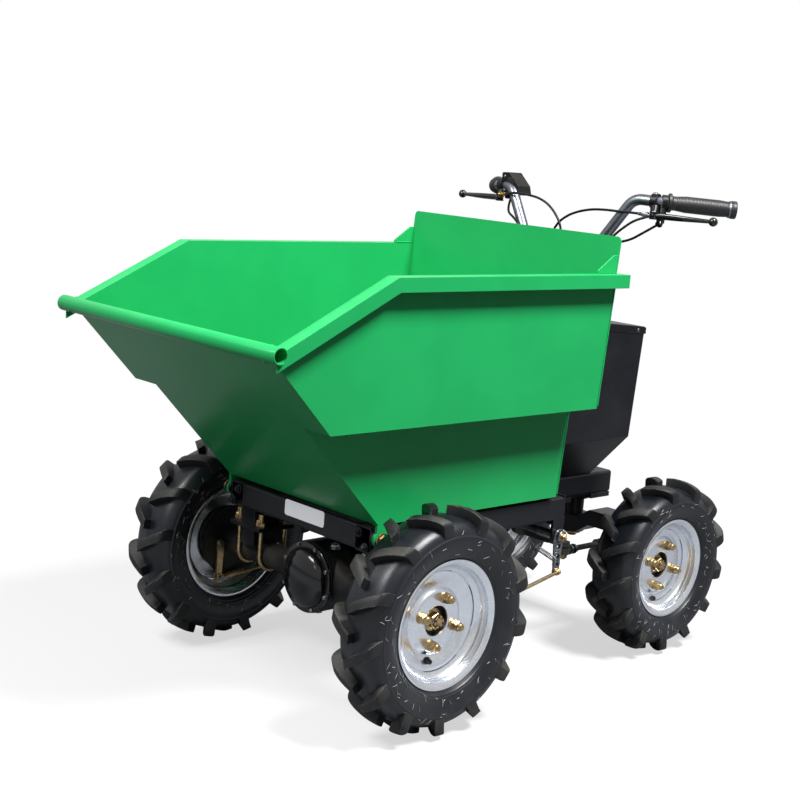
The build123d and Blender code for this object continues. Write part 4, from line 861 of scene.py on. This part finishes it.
def weld(start, end, radius, seed):
    """Weld bead: a round cord whose radius ripples every 2.4 mm and drifts a little."""
    start, end = np.array(start, float), np.array(end, float)
    length = np.linalg.norm(end - start)
    share = np.linspace(0, 1, max(9, int(length / 0.0008)))
    ripple = 1 + 0.16 * np.sin(share * length / 0.0024 * 2 * np.pi) + 0.08 * np.sin(share * 23 + seed)
    ripple *= np.minimum(1, 0.35 + np.minimum(share, 1 - share) * length / 0.003)
    upright = abs(end - start)[2] >= 0.9 * length
    up = (1.0, 0.0, 0.0) if upright else (0.0, 0.0, 1.0)
    return swept(start + share[:, None] * (end - start), radius * ripple, 7, up)


# ---------------------------------------------------------------- handlebar
COLUMN_Y = pivots["steer"][1]
CLAMP_TOP = 0.760
BAR_FOOT = np.array((0.0, COLUMN_Y, 0.738))
# points of the bar's two bent ends, as (beside, behind, above) the foot in millimetres
BAR_BEND = (165, 32, 194)
GRIP_START = (215, 44, 192)
GRIP_END = (322, 152, 187)
# lever: side, spot on the bar, pivot, ball, and the cable's first two points, as (beside, behind, above)
LEVERS = {
    "left": (1, (210, 43, 192), (222, 26, 165), (338, 61, 164), (216, 17, 165), (184, 13, 167)),
    "right": (-1, (194, 39, 193), (192, 26, 167), (338, 61, 164), (186, 21, 173), (166, 14, 176)),
}
BALL_RADIUS = 0.0090


def on_bar(side, x, behind, above):
    """Point beside, behind and above the middle of the handlebar's clamp, given in millimetres."""
    return BAR_FOOT + np.array((side * x, behind, above)) / 1000


def grip_parts(side):
    """Rubber grip: flange, waist, ribbed belly and end cap, turned about the bar's straight end; its band."""
    foot, head = on_bar(side, *GRIP_START), on_bar(side, *GRIP_END)
    run = (head - foot) / np.linalg.norm(head - foot)
    place = aimed(foot + 0.020 * run, run)
    far = np.arange(0.0150, 0.1160, 0.0005)
    belly = np.interp(far, (0.014, 0.034, 0.100, 0.116), (0.0140, 0.0163, 0.0165, 0.0153))
    belly = belly - 0.0004 * np.clip(np.sin(2 * np.pi * far / 0.0030), 0, 1) ** 2
    flange = [(0.0, 0.0112), (0.0, 0.0180), (0.0008, 0.0190), (0.0052, 0.0190), (0.0060, 0.0182),
              (0.0072, 0.0152), (0.0092, 0.0141)]
    cap = [(0.1185, 0.0150), (0.1229, 0.0150), (0.1231, 0.0170), (0.1240, 0.0175), (0.1325, 0.0175),
           (0.1340, 0.0166), (0.1340, 0.0060), (0.1334, 0.0050), (0.1334, 0.0004)]
    rubber = turned([*flange, *zip(far, belly), *cap], 48)
    band = turned(collar(0.1188, 0.1230, 0.0148, 0.0168, 0.0008, 0.0005), 48, loop=True)
    return moved(rubber, place), moved(band, place)


def perch_parts(side, spot, pivot):
    """Lever perch: ring on the bar, arm down to the pivot, and two cheeks over and under the blade."""
    run = on_bar(side, *GRIP_START) - on_bar(side, *BAR_BEND)
    ring = turned(collar(-0.0070, 0.0070, 0.0111, 0.0160, 0.0010, 0.0010), 40, loop=True)
    arm = np.linspace(spot + 0.42 * (pivot - spot), pivot, 9)
    cheek = turned(((0.0040, 0.0010), (0.0040, 0.0082), (0.0046, 0.0088), (0.0066, 0.0088), (0.0074, 0.0078),
                    (0.0074, 0.0010)), 28)
    return [
        moved(ring, aimed(spot, run)),
        swept(arm, np.linspace(0.0088, 0.0078, len(arm)), 18),
        moved(cheek, aimed(pivot, UP), aimed(pivot, DOWN)),
    ]


def blade_parts(pivot, ball):
    """Brake blade: a boss on the pivot, a bowed flat bar that thins outwards, and the ball at its end."""
    share = np.linspace(0, 1, 24)
    line = pivot + share[:, None] * (ball - pivot)
    line[:, 1] -= 0.0045 * np.sin(np.pi * share) ** 1.5
    high = np.interp(share, (0, 0.12, 0.4, 0.9, 1), (0.0036, 0.0064, 0.0060, 0.0040, 0.0036))
    deep = np.interp(share, (0, 0.12, 0.4, 0.9, 1), (0.0050, 0.0046, 0.0034, 0.0036, 0.0034))
    arc = np.linspace(0.05, np.pi - 0.05, 20)
    sphere = np.stack((-BALL_RADIUS * np.cos(arc), BALL_RADIUS * np.sin(arc)), axis=1)
    boss = collar(-0.0038, 0.0038, 0.0010, 0.0080, 0.0006, 0.0004)
    return [strap(line, high, deep), moved(turned(sphere, 28), aimed(ball, ball - pivot)),
            moved(turned(boss, 28), aimed(pivot, UP))]


def adjuster_parts(start, end):
    """Cable adjuster: a knurled barrel that narrows towards the cable, and a lock ring."""
    knurl = [(0.0050 + 0.0009 * k, 0.0047 - 0.0005 * (k % 2)) for k in range(12)]
    barrel = turned([(-0.004, 0.0034), (0.0050, 0.0034), *knurl, (0.0160, 0.0036), (0.0225, 0.0033),
                     (0.0230, 0.0028)], 24)
    lock = prism(12, 0.0062, 0.0010, 0.0042, 0.0005)
    return [moved(part, aimed(start, end - start)) for part in (barrel, lock)]


def dress_levers():
    """Grips, perches, blades, adjusters and perch screws of both sides; all turn with the steering."""
    for name, (side, *points) in LEVERS.items():
        spot, pivot, ball, sleeve, onward = [on_bar(side, *point) for point in points]
        rubber, band = grip_parts(side)
        make_piece(f"ribbed_grip_{name}", [rubber], "grip_rubber", "steering", 40, [f"grip_{name}"])
        make_piece(f"grip_band_{name}", [band], "bar_chrome", "steering")
        make_piece(f"perch_body_{name}", perch_parts(side, spot, pivot), "plastic_black", "steering", 40,
                   [f"lever_perch_{name}"])
        make_piece(f"brake_lever_blade_{name}", blade_parts(pivot, ball), "gloss_black", "steering", 50,
                   [f"brake_blade_{name}"])
        metal = "bare_steel" if side > 0 else "brass"
        make_piece(f"cable_adjuster_{name}", adjuster_parts(sleeve, onward), metal, "steering")
        screws = [(pivot + (0, 0, 0.0072), UP), (spot + (0, -0.002, 0.0150), (0, -0.1, 1))]
        make_piece(f"perch_screws_{name}", screw_parts(screws, 0.0052, 0.0032), "bare_steel", "steering")


def dress_clamp():
    """Four socket screws in the handlebar's clamp."""
    places = [((x, COLUMN_Y + y, CLAMP_TOP), UP) for x in (-0.018, 0.018) for y in (-0.013, 0.013)]
    make_piece("clamp_screws", screw_parts(places, 0.0060, 0.0050), "bare_steel", "steering")


def dress_controls():
    """Throttle housing's screws, knob and cover on the right, and the switch's button on the left."""
    front = [(on_bar(-1, x, 28, z), FORWARD) for x, z in ((184, 213), (184, 183), (149, 183))]
    make_piece("throttle_screws", screw_parts(front, 0.0034, 0.0016), "bare_steel", "steering")
    cap = turned(((0.0, 0.0070), (0.001, 0.0080), (0.008, 0.0084), (0.011, 0.0070), (0.0118, 0.004)), 28)
    knob = moved(cap, aimed(on_bar(-1, 186, 46, 177), (0.2, -0.1, -1)))
    make_piece("throttle_knob", [knob], "plastic_black", "steering")
    guard = moved(plate(0.0105, 0.0120, 0.003, 0.0, 0.0022, 0.0006), aimed(on_bar(-1, 166, 29, 199), FORWARD))
    make_piece("throttle_cover", [guard], "gloss_black", "steering")
    dome = turned(((0.0, 0.0060), (0.0010, 0.0072), (0.0060, 0.0074), (0.0075, 0.0060), (0.0078, 0.002)), 28)
    button = moved(dome, aimed(on_bar(1, 227, 41, 152), (0.1, -0.8, -1.0)))
    make_piece("switch_button", [button], "gloss_black", "steering")


# ---------------------------------------------------------------- front axle
AXLE_Y, AXLE_Z = pivots["front_left_spin"][1:]
COVER_Y = AXLE_Y - 0.030
COVER_BOLTS = 8
COVER_CIRCLE = 0.0625
U_BOLT_X = (0.151, 0.217)
U_BOLT_SPAN = 0.029
U_BOLT_TOP = 0.262
ROD_Y = AXLE_Y - 0.040
ROD_Z = AXLE_Z - 0.070
FORK_X = (0.2635, 0.2535)
MOTOR_BACK = -0.0350
BOX_Y = -0.118


def dress_cover():
    """Glossy cover of the gears: a flange with a quarter ellipse turned on it, and its ring of bolts."""
    dome = [(0.006 + 0.026 * np.sin(a), 0.057 * np.cos(a) + 0.0005) for a in np.linspace(0, 1.53, 24)]
    flange = [(0.0, 0.010), (0.0, 0.0662), (0.0008, 0.0670), (0.0050, 0.0670), (0.0060, 0.0660),
              (0.0060, 0.0590)]
    cover = moved(turned([*flange, *dome], 80), aimed((0, COVER_Y, AXLE_Z), FORWARD))
    make_piece("bulged_cover", [cover], "gloss_black", "chassis", 40, ["diff_cover"])
    ring = (np.arange(COVER_BOLTS) + 0.5) * 2 * np.pi / COVER_BOLTS
    bolts = [((COVER_CIRCLE * np.cos(a), COVER_Y - 0.0055, AXLE_Z + COVER_CIRCLE * np.sin(a)), FORWARD)
             for a in ring]
    make_piece("cover_bolts", bolt_parts(bolts, 0.0040, 0.0032, washer=1.08), "bare_steel", "chassis")


def dress_u_bolts():
    """Nut, lock nut and thread on each leg of the U-bolts that hold the axle's pads."""
    legs = [((side * x, AXLE_Y + y, U_BOLT_TOP), UP)
            for side in (1, -1) for x in U_BOLT_X for y in (-U_BOLT_SPAN, U_BOLT_SPAN)]
    turns = [aimed(*leg) for leg in legs]
    nut = prism(6, 0.0086, 0.0003, 0.0084, 0.0009, 0.3)
    lock = prism(6, 0.0078, 0.0088, 0.0132, 0.0008, 0.1)
    parts = [moved(part, *turns) for part in (nut, lock, thread(0.0130, 0.0245, 0.0043))]
    make_piece("u_bolt_nuts", parts, "zinc_gold", "chassis")


def dress_drum_levers():
    """Forks on the brake rods' front ends, and the pins through them and through the drum levers."""
    forks, ends = [], []
    cheek = plate(0.0075, 0.0085, 0.0030, -0.0014, 0.0014, 0.0004)
    for side in (1, -1):
        forks += [moved(cheek, aimed((side * x, ROD_Y, ROD_Z), (side, 0, 0))) for x in FORK_X]
        neck = ((side * 0.2525, ROD_Y + 0.006, ROD_Z + 0.001), (side * 0.2520, ROD_Y + 0.028, ROD_Z + 0.006),
                (side * 0.2510, ROD_Y + 0.056, ROD_Z + 0.009))
        forks.append(swept(smooth_path(neck, 12), 0.0052, 12))
        ends += [((side * 0.2652, ROD_Y, ROD_Z), (side, 0, 0)),
                 ((side * 0.2520, ROD_Y, ROD_Z), (-side, 0, 0)),
                 ((side * 0.2555, ROD_Y, AXLE_Z), (-side, 0, 0))]
    make_piece("brake_clevises", forks, "zinc_gold", "chassis")
    make_piece("clevis_pins", bolt_parts(ends, 0.0056, 0.0036, washer=1.15), "bare_steel", "chassis")


def dress_motor():
    """Motor: cooling fins round its body, its end cap, and the terminal box with two glands."""
    fin = turned(((-0.0014, 0.0600), (-0.0010, 0.0652), (0.0010, 0.0652), (0.0014, 0.0600)), 80, loop=True)
    fins = moved(fin, *[aimed((0, y, AXLE_Z), BACKWARD) for y in np.linspace(-0.180, -0.060, 13)])
    cap = turned(((-0.012, 0.0630), (-0.010, 0.0648), (0.0, 0.0648), (0.0016, 0.0625), (0.0022, 0.040),
                  (0.0070, 0.036), (0.0085, 0.030), (0.0085, 0.002)), 72)
    cap = moved(cap, aimed((0, MOTOR_BACK, AXLE_Z), BACKWARD))
    box = moved(plate(0.034, 0.026, 0.005, 0.0, 0.034, 0.0015), aimed((0, BOX_Y, 0.258), UP))
    gland = turned(((0.0, 0.009), (0.006, 0.009), (0.007, 0.0075), (0.016, 0.0070), (0.017, 0.0055)), 24)
    glands = moved(gland, *[aimed((x, BOX_Y + 0.024, 0.276), BACKWARD) for x in (0.016, -0.016)])
    make_piece("motor_fins", [fins, cap, box, glands], "cast_black", "chassis", 40)


def dress_plugs():
    """Drain plug under the axle housing, and its filler plug."""
    plugs = [((0.0, AXLE_Y, 0.1365), DOWN), ((0.035, AXLE_Y, 0.2640), UP)]
    make_piece("axle_plugs", bolt_parts(plugs, 0.0090, 0.0060), "bare_steel", "chassis")


def dress_terminals():
    """Two screws in the terminal box's lid."""
    screws = [((x, BOX_Y, 0.2918), UP) for x in (-0.0248, 0.0248)]
    make_piece("terminal_screws", screw_parts(screws, 0.0036, 0.0018), "bare_steel", "chassis")


# ---------------------------------------------------------------- brake linkage
CRANK_X, SHAFT_Y, SHAFT_Z, CRANK_FOOT = 0.203, 0.179, 0.272, 0.200
CRANK_HALF = 0.003
# rings of a perforated crank: (height, outer radius, hole), the shaft's first and the rod's last
CRANK_RINGS = ((SHAFT_Z, 0.0140, 0.0080), (0.2515, 0.0118, 0.0052), (0.2320, 0.0104, 0.0045),
               (0.2150, 0.0090, 0.0036), (CRANK_FOOT, 0.0080, 0.0030))


def crank_parts(side):
    """Perforated crank: rings that shrink towards the rod, two rounded edges along them, and the boss."""
    x = side * CRANK_X
    parts = []
    for z, outer, hole in CRANK_RINGS:
        ring = turned(collar(-CRANK_HALF, CRANK_HALF, hole, outer, 0.0006, 0.0006), 32, loop=True)
        parts.append(moved(ring, aimed((x, SHAFT_Y, z), (1, 0, 0))))
    for edge in (-1, 1):
        top = (x, SHAFT_Y + edge * 0.0118, SHAFT_Z - 0.004)
        foot = (x, SHAFT_Y + edge * 0.0058, CRANK_FOOT)
        parts.append(swept(np.linspace(top, foot, 8), 0.0026, 8))
    boss = turned(((0.0, 0.0078), (0.0, 0.0112), (0.001, 0.0120), (0.0130, 0.0120), (0.0140, 0.0110),
                   (0.0140, 0.0078)), 36, loop=True)
    parts.append(moved(boss, aimed((side * (CRANK_X - CRANK_HALF), SHAFT_Y, SHAFT_Z), (side, 0, 0))))
    return parts


def dress_linkage():
    """Perforated cranks on the brake shaft, pins at the rods' rear ends, and the return springs."""
    cranks, springs, ends = [], [], []
    for side in (1, -1):
        cranks += crank_parts(side)
        ends += [((side * (CRANK_X + 0.0035), SHAFT_Y, CRANK_FOOT), (side, 0, 0)),
                 ((side * (CRANK_X + 0.0108), SHAFT_Y, SHAFT_Z), (side, 0, 0))]
        x = side * (CRANK_X + 0.0055)
        springs.append(coil((x, SHAFT_Y - 0.003, 0.222), (x, SHAFT_Y - 0.074, 0.262), 0.0046, 0.0008, 15))
    make_piece("perforated_cranks", cranks, "bare_steel", "chassis", 40, ["brake_cranks"])
    make_piece("return_springs", springs, "bare_steel", "chassis", 60)
    make_piece("crank_pins", bolt_parts(ends, 0.0062, 0.0050, 0.003), "zinc_gold", "chassis")


# ---------------------------------------------------------------- frame and rear axle
HINGE_Y, HINGE_Z = pivots["tub_tip"][1:]
KINGPIN_Y = pivots["rear_axle_swing"][1]
LINK_X, LINK_Z = pivots["drag_link_pin"][[0, 2]]
END_PLATE_Y = -0.3250
LABEL_PLACE = (0.0190, -0.3206, 0.3331)
RAIL_INNER, RAIL_LOW, RAIL_HIGH = 0.1605, 0.305, 0.345
SPINE_X, SPINE_Y = 0.0800, 0.1895


def dress_frame():
    """Hinge nuts, end plates' bolts, bare label and weld beads of the frame."""
    hinge = both_sides(((0.2180, HINGE_Y, HINGE_Z), (1, 0, 0)))
    make_piece("hinge_nuts", bolt_parts(hinge, 0.0100, 0.0080, 0.004), "zinc_gold", "chassis")
    flange = both_sides(((0.172, END_PLATE_Y, 0.336), FORWARD), ((0.190, END_PLATE_Y, 0.312), FORWARD))
    make_piece("frame_bolts", bolt_parts(flange, 0.0068, 0.0050, 0.003), "black_paint", "chassis")
    label = moved(plate(0.0555, 0.0148, 0.0050, 0.0, 0.0012, 0.0003), aimed(LABEL_PLACE, FORWARD))
    make_piece("bare_label", [label], "label_white", "chassis")
    beads = [weld((side * RAIL_INNER, y, RAIL_LOW), (side * RAIL_INNER, y, RAIL_HIGH), 0.0022, y * 90)
             for side in (1, -1) for y in (-0.3210, -0.2710, 0.1390, 0.1890)]
    beads += [weld((side * SPINE_X, SPINE_Y, RAIL_LOW), (side * SPINE_X, SPINE_Y, RAIL_HIGH), 0.0022, side)
              for side in (1, -1)]
    beads += [weld((side * 0.164, -0.295, 0.3015), (side * 0.164, -0.217, 0.3015), 0.0020, side)
              for side in (1, -1)]
    make_piece("frame_welds", beads, "black_paint", "chassis", 60)


def dress_rear_axle():
    """Bolts of the rear axle's end plates, and the nut under the kingpin."""
    knuckle = both_sides(*[((0.1562, KINGPIN_Y + y, 0.232), (1, 0, 0)) for y in (-0.020, 0.020)])
    make_piece("knuckle_bolts", bolt_parts(knuckle, 0.0066, 0.0052, 0.003), "zinc_gold", "rear_axle")
    foot = [((0.0, KINGPIN_Y, 0.2065), DOWN)]
    make_piece("kingpin_nut", bolt_parts(foot, 0.0180, 0.0120, 0.005), "zinc_gold", "rear_axle")


def dress_drag_link():
    """Nuts under the drag link's two eyes, and pairs of lock nuts on its threads."""
    eyes = [((LINK_X, y, LINK_Z - 0.007), DOWN) for y in (COLUMN_Y, KINGPIN_Y)]
    make_piece("link_nuts", bolt_parts(eyes, 0.0080, 0.0070, 0.003), "zinc_gold", "link")
    places = (COLUMN_Y + 0.018, COLUMN_Y + 0.030, KINGPIN_Y - 0.038, KINGPIN_Y - 0.026)
    locks = [((LINK_X, y, LINK_Z), BACKWARD) for y in places]
    make_piece("link_lock_nuts", bolt_parts(locks, 0.0098, 0.0060, washer=1.1), "bare_steel", "link")


# ---------------------------------------------------------------- battery case
CASE_HALF, CASE_FRONT, CASE_BACK = 0.1400, 0.1892, 0.4690
FITTING_X, FITTING_Z, HANDLE_Z = 0.080, 0.555, 0.610


def lid_height(y, below):
    """Height of a point below the case's lid, which slopes down towards the back."""
    return 0.692 - 0.0857 * (y - 0.190) - below


def hoop(corners, thick, high):
    """Band round four corners (3 numbers each), standing out by thick and up by high."""
    corners = np.array(corners, float)
    out = np.sign(corners - corners.mean(axis=0)) * (1, 1, 0) * thick
    up = np.array((0.0, 0.0, high))
    rows = np.stack((corners - out, corners + out, corners + out + up, corners - out + up), axis=1)
    return rows.reshape(-1, 3), [grid_faces(4, 4, True, True)]


def handle_part():
    """Bar handle on the case's back: a round bar out of the plate, across and back into it."""
    half = ((-0.055, -0.004), (-0.053, 0.016), (-0.040, 0.021))
    line = [(x, CASE_BACK + out, HANDLE_Z) for x, out in half]
    line += [(-x, CASE_BACK + out, HANDLE_Z) for x, out in half[::-1]]
    return swept(smooth_path(line, 60), 0.0050, 14, UP)


def dress_case():
    """Battery case: the lid's folded edge along its sloping top, its screws, handle, socket and meter."""
    front_left, back_left = (CASE_HALF, CASE_FRONT), (CASE_HALF, CASE_BACK)
    back_right, front_right = (-CASE_HALF, CASE_BACK), (-CASE_HALF, CASE_FRONT)
    corners = [(x, y, lid_height(y, 0.0150)) for x, y in (front_left, back_left, back_right, front_right)]
    make_piece("lid_edge", [hoop(corners, 0.0016, 0.0135)], "box_black", "chassis", 30)
    screws = [((side * (CASE_HALF + 0.0012), y, lid_height(y, 0.0085)), (side, 0, 0))
              for side in (1, -1) for y in (0.215, 0.330, 0.445)]
    make_piece("lid_screws", screw_parts(screws, 0.0040, 0.0022), "bare_steel", "chassis")
    socket = turned(((0.0, 0.0220), (0.0020, 0.0230), (0.0040, 0.0225), (0.0045, 0.0180), (0.0120, 0.0175),
                     (0.0140, 0.0150), (0.0142, 0.002)), 40)
    socket = moved(socket, aimed((FITTING_X, CASE_BACK - 0.0045, FITTING_Z), BACKWARD))
    meter = plate(0.026, 0.017, 0.004, 0.0, 0.0050, 0.001)
    meter = moved(meter, aimed((-FITTING_X, CASE_BACK - 0.0050, FITTING_Z), BACKWARD))
    make_piece("case_fittings", [socket, handle_part(), meter], "plastic_black", "chassis", 40)


# ---------------------------------------------------------------- tub
# seams up the tub's back corners: (beside, low, high) of the wide upper part and of the chest
BACK_SEAMS = ((0.2782, 0.545, 0.795), (0.2122, 0.360, 0.538))
LIP_X, LIP_Y, LIP_Z, LIP_RADIUS = 0.2790, -0.636, 0.681, 0.0142


def back_wall(z):
    """Y of the tub's leaning back wall at a height."""
    return 0.149 + 0.078 * (z - 0.356)


def lip_weld(side):
    """Bead round an end of the lip's tube: a rippled cord on an arc from its top, behind and under it."""
    arc = np.linspace(1.9, 5.4, 60)
    x = np.full(len(arc), side * LIP_X)
    line = np.stack((x, LIP_Y - LIP_RADIUS * np.cos(arc), LIP_Z + LIP_RADIUS * np.sin(arc)), axis=-1)
    return swept(line, 0.0015 + 0.0002 * np.sin(arc * 26), 7)


def dress_tub():
    """Weld beads of the tub: at its back corners, at the hinge ears, by the board and at the lip's tube."""
    beads = []
    for side in (1, -1):
        for seed, (x, low, high) in zip((side, side + 2), BACK_SEAMS):
            ends = [(side * x, back_wall(z), z) for z in (low, high)]
            beads.append(weld(*ends, 0.0016, seed))
        ear = side * 0.2060
        beads.append(weld((ear, -0.324, 0.3570), (ear, -0.276, 0.3570), 0.0020, side + 3))
        gusset, top = side * 0.2752, back_wall(0.800)
        beads.append(weld((gusset, top - 0.050, 0.7985), (gusset, top - 0.004, 0.7985), 0.0016, side))
        beads.append(lip_weld(side))
    make_piece("tub_welds", beads, "green_paint", "tub_body", 60)


dress_wheels()
dress_levers()
dress_clamp()
dress_controls()
dress_cover()
dress_u_bolts()
dress_drum_levers()
dress_motor()
dress_plugs()
dress_terminals()
dress_linkage()
dress_frame()
dress_rear_axle()
dress_drag_link()
dress_case()
dress_tub()


# ---------------------------------------------------------------- stage, lights and camera
FLOOR_HALF = 12.0
FLOOR_Z = -0.001


def grey(value):
    """A grey as the four numbers that a shader takes."""
    return (value, value, value, 1.0)


def make_floor():
    """A pale floor that keeps shadows near the part and runs into the white background far off."""
    side = np.linspace(-FLOOR_HALF, FLOOR_HALF, 3)
    x, y = np.meshgrid(side, side, indexing="ij")
    points = np.stack((x, y, np.full_like(x, FLOOR_Z)), axis=-1).reshape(-1, 3)
    mesh = bpy.data.meshes.new("floor")
    mesh.from_pydata(points.tolist(), [], grid_faces(3, 3).tolist())
    floor = bpy.data.objects.new("floor", mesh)
    bpy.context.scene.collection.objects.link(floor)
    material = bpy.data.materials.new("floor_white")
    material.use_nodes = True
    tree = material.node_tree
    shader = tree.nodes["Principled BSDF"]
    shader.inputs["Roughness"].default_value = 0.9
    glow = tree.nodes.new("ShaderNodeEmission")
    glow.inputs["Strength"].default_value = 1.0
    path = tree.nodes.new("ShaderNodeLightPath")
    bounce = mix_colour(tree, path.outputs["Is Glossy Ray"], grey(0.08), (0.26, 0.27, 0.29, 1.0))
    bounce = mix_colour(tree, path.outputs["Is Camera Ray"], bounce, grey(0.90))
    tree.links.new(bounce, shader.inputs["Base Color"])
    seen = math_node(tree, "MAXIMUM", path.outputs["Is Camera Ray"], path.outputs["Is Transmission Ray"])
    length = tree.nodes.new("ShaderNodeVectorMath")
    length.operation = "LENGTH"
    tree.links.new(object_place(tree), length.inputs[0])
    far = ramp(tree, length.outputs["Value"], (0.7, 1.9, 0.62, 1.0))
    mix = tree.nodes.new("ShaderNodeMixShader")
    tree.links.new(math_node(tree, "MULTIPLY", seen, far), mix.inputs[0])
    tree.links.new(shader.outputs[0], mix.inputs[1])
    tree.links.new(glow.outputs[0], mix.inputs[2])
    tree.links.new(mix.outputs[0], tree.nodes["Material Output"].inputs["Surface"])
    mesh.materials.append(material)


def make_world():
    """Soft sky light, and plain white where a camera, glossy or transmission ray leaves the scene."""
    world = bpy.data.worlds.new("studio")
    bpy.context.scene.world = world
    world.use_nodes = True
    tree = world.node_tree
    tree.nodes.clear()
    soft = tree.nodes.new("ShaderNodeBackground")
    soft.inputs["Color"].default_value = (0.93, 0.96, 1.0, 1.0)
    soft.inputs["Strength"].default_value = 0.13
    white = tree.nodes.new("ShaderNodeBackground")
    white.inputs["Color"].default_value = grey(1.0)
    white.inputs["Strength"].default_value = 1.0
    path = tree.nodes.new("ShaderNodeLightPath")
    seen = math_node(tree, "MAXIMUM", path.outputs["Is Camera Ray"], path.outputs["Is Transmission Ray"])
    shine = math_node(tree, "MULTIPLY", path.outputs["Is Glossy Ray"], 0.55)
    mix = tree.nodes.new("ShaderNodeMixShader")
    leave = tree.nodes.new("ShaderNodeOutputWorld")
    tree.links.new(math_node(tree, "MAXIMUM", seen, shine), mix.inputs[0])
    tree.links.new(soft.outputs[0], mix.inputs[1])
    tree.links.new(white.outputs[0], mix.inputs[2])
    tree.links.new(mix.outputs[0], leave.inputs["Surface"])


def add_lamp(name, place, size, power):
    """A soft square lamp that looks at the middle of the part."""
    data = bpy.data.lights.new(name, "AREA")
    data.size = size
    data.energy = power
    lamp = bpy.data.objects.new(name, data)
    back = np.array(place) - np.array((0, 0, 0.4))
    back /= np.linalg.norm(back)
    side = np.cross((0, 0, 1), back)
    side /= np.linalg.norm(side)
    turn = np.stack((side, np.cross(back, side), back), axis=1)
    lamp.matrix_world = Matrix.LocRotScale(place, Matrix(turn.tolist()), (1, 1, 1))
    bpy.context.scene.collection.objects.link(lamp)


CAMERA_PLACE = (2.0545, -2.0604, 1.0215)
CAMERA_BEARING, CAMERA_PITCH, CAMERA_ROLL = 46.12, 9.91, 4.43
CAMERA_LENS = 68.21


def add_camera():
    """Camera from its place, its bearing, its pitch and its roll."""
    bearing, pitch, roll = np.radians((CAMERA_BEARING, CAMERA_PITCH, CAMERA_ROLL))
    ahead = np.array((-np.sin(bearing) * np.cos(pitch), np.cos(bearing) * np.cos(pitch), -np.sin(pitch)))
    level = np.array((np.cos(bearing), np.sin(bearing), 0.0))
    above = np.cross(level, ahead)
    right = level * np.cos(roll) + above * np.sin(roll)
    top = above * np.cos(roll) - level * np.sin(roll)
    data = bpy.data.cameras.new("camera")
    data.lens = CAMERA_LENS
    data.sensor_width = 36.0
    camera = bpy.data.objects.new("camera", data)
    turn = Matrix(np.stack((right, top, -ahead), axis=1).tolist())
    camera.matrix_world = Matrix.LocRotScale(CAMERA_PLACE, turn, (1, 1, 1))
    bpy.context.scene.collection.objects.link(camera)
    bpy.context.scene.camera = camera


make_floor()
make_world()
add_lamp("sun_side", (1.9, 0.3, 3.5), 1.0, 232)
add_lamp("front_fill", (0.9, -3.4, 2.0), 0.6, 3)
add_lamp("top_soft", (-0.3, -2.6, 3.3), 1.4, 142)
add_camera()
bpy.context.scene.view_settings.view_transform = "Standard"
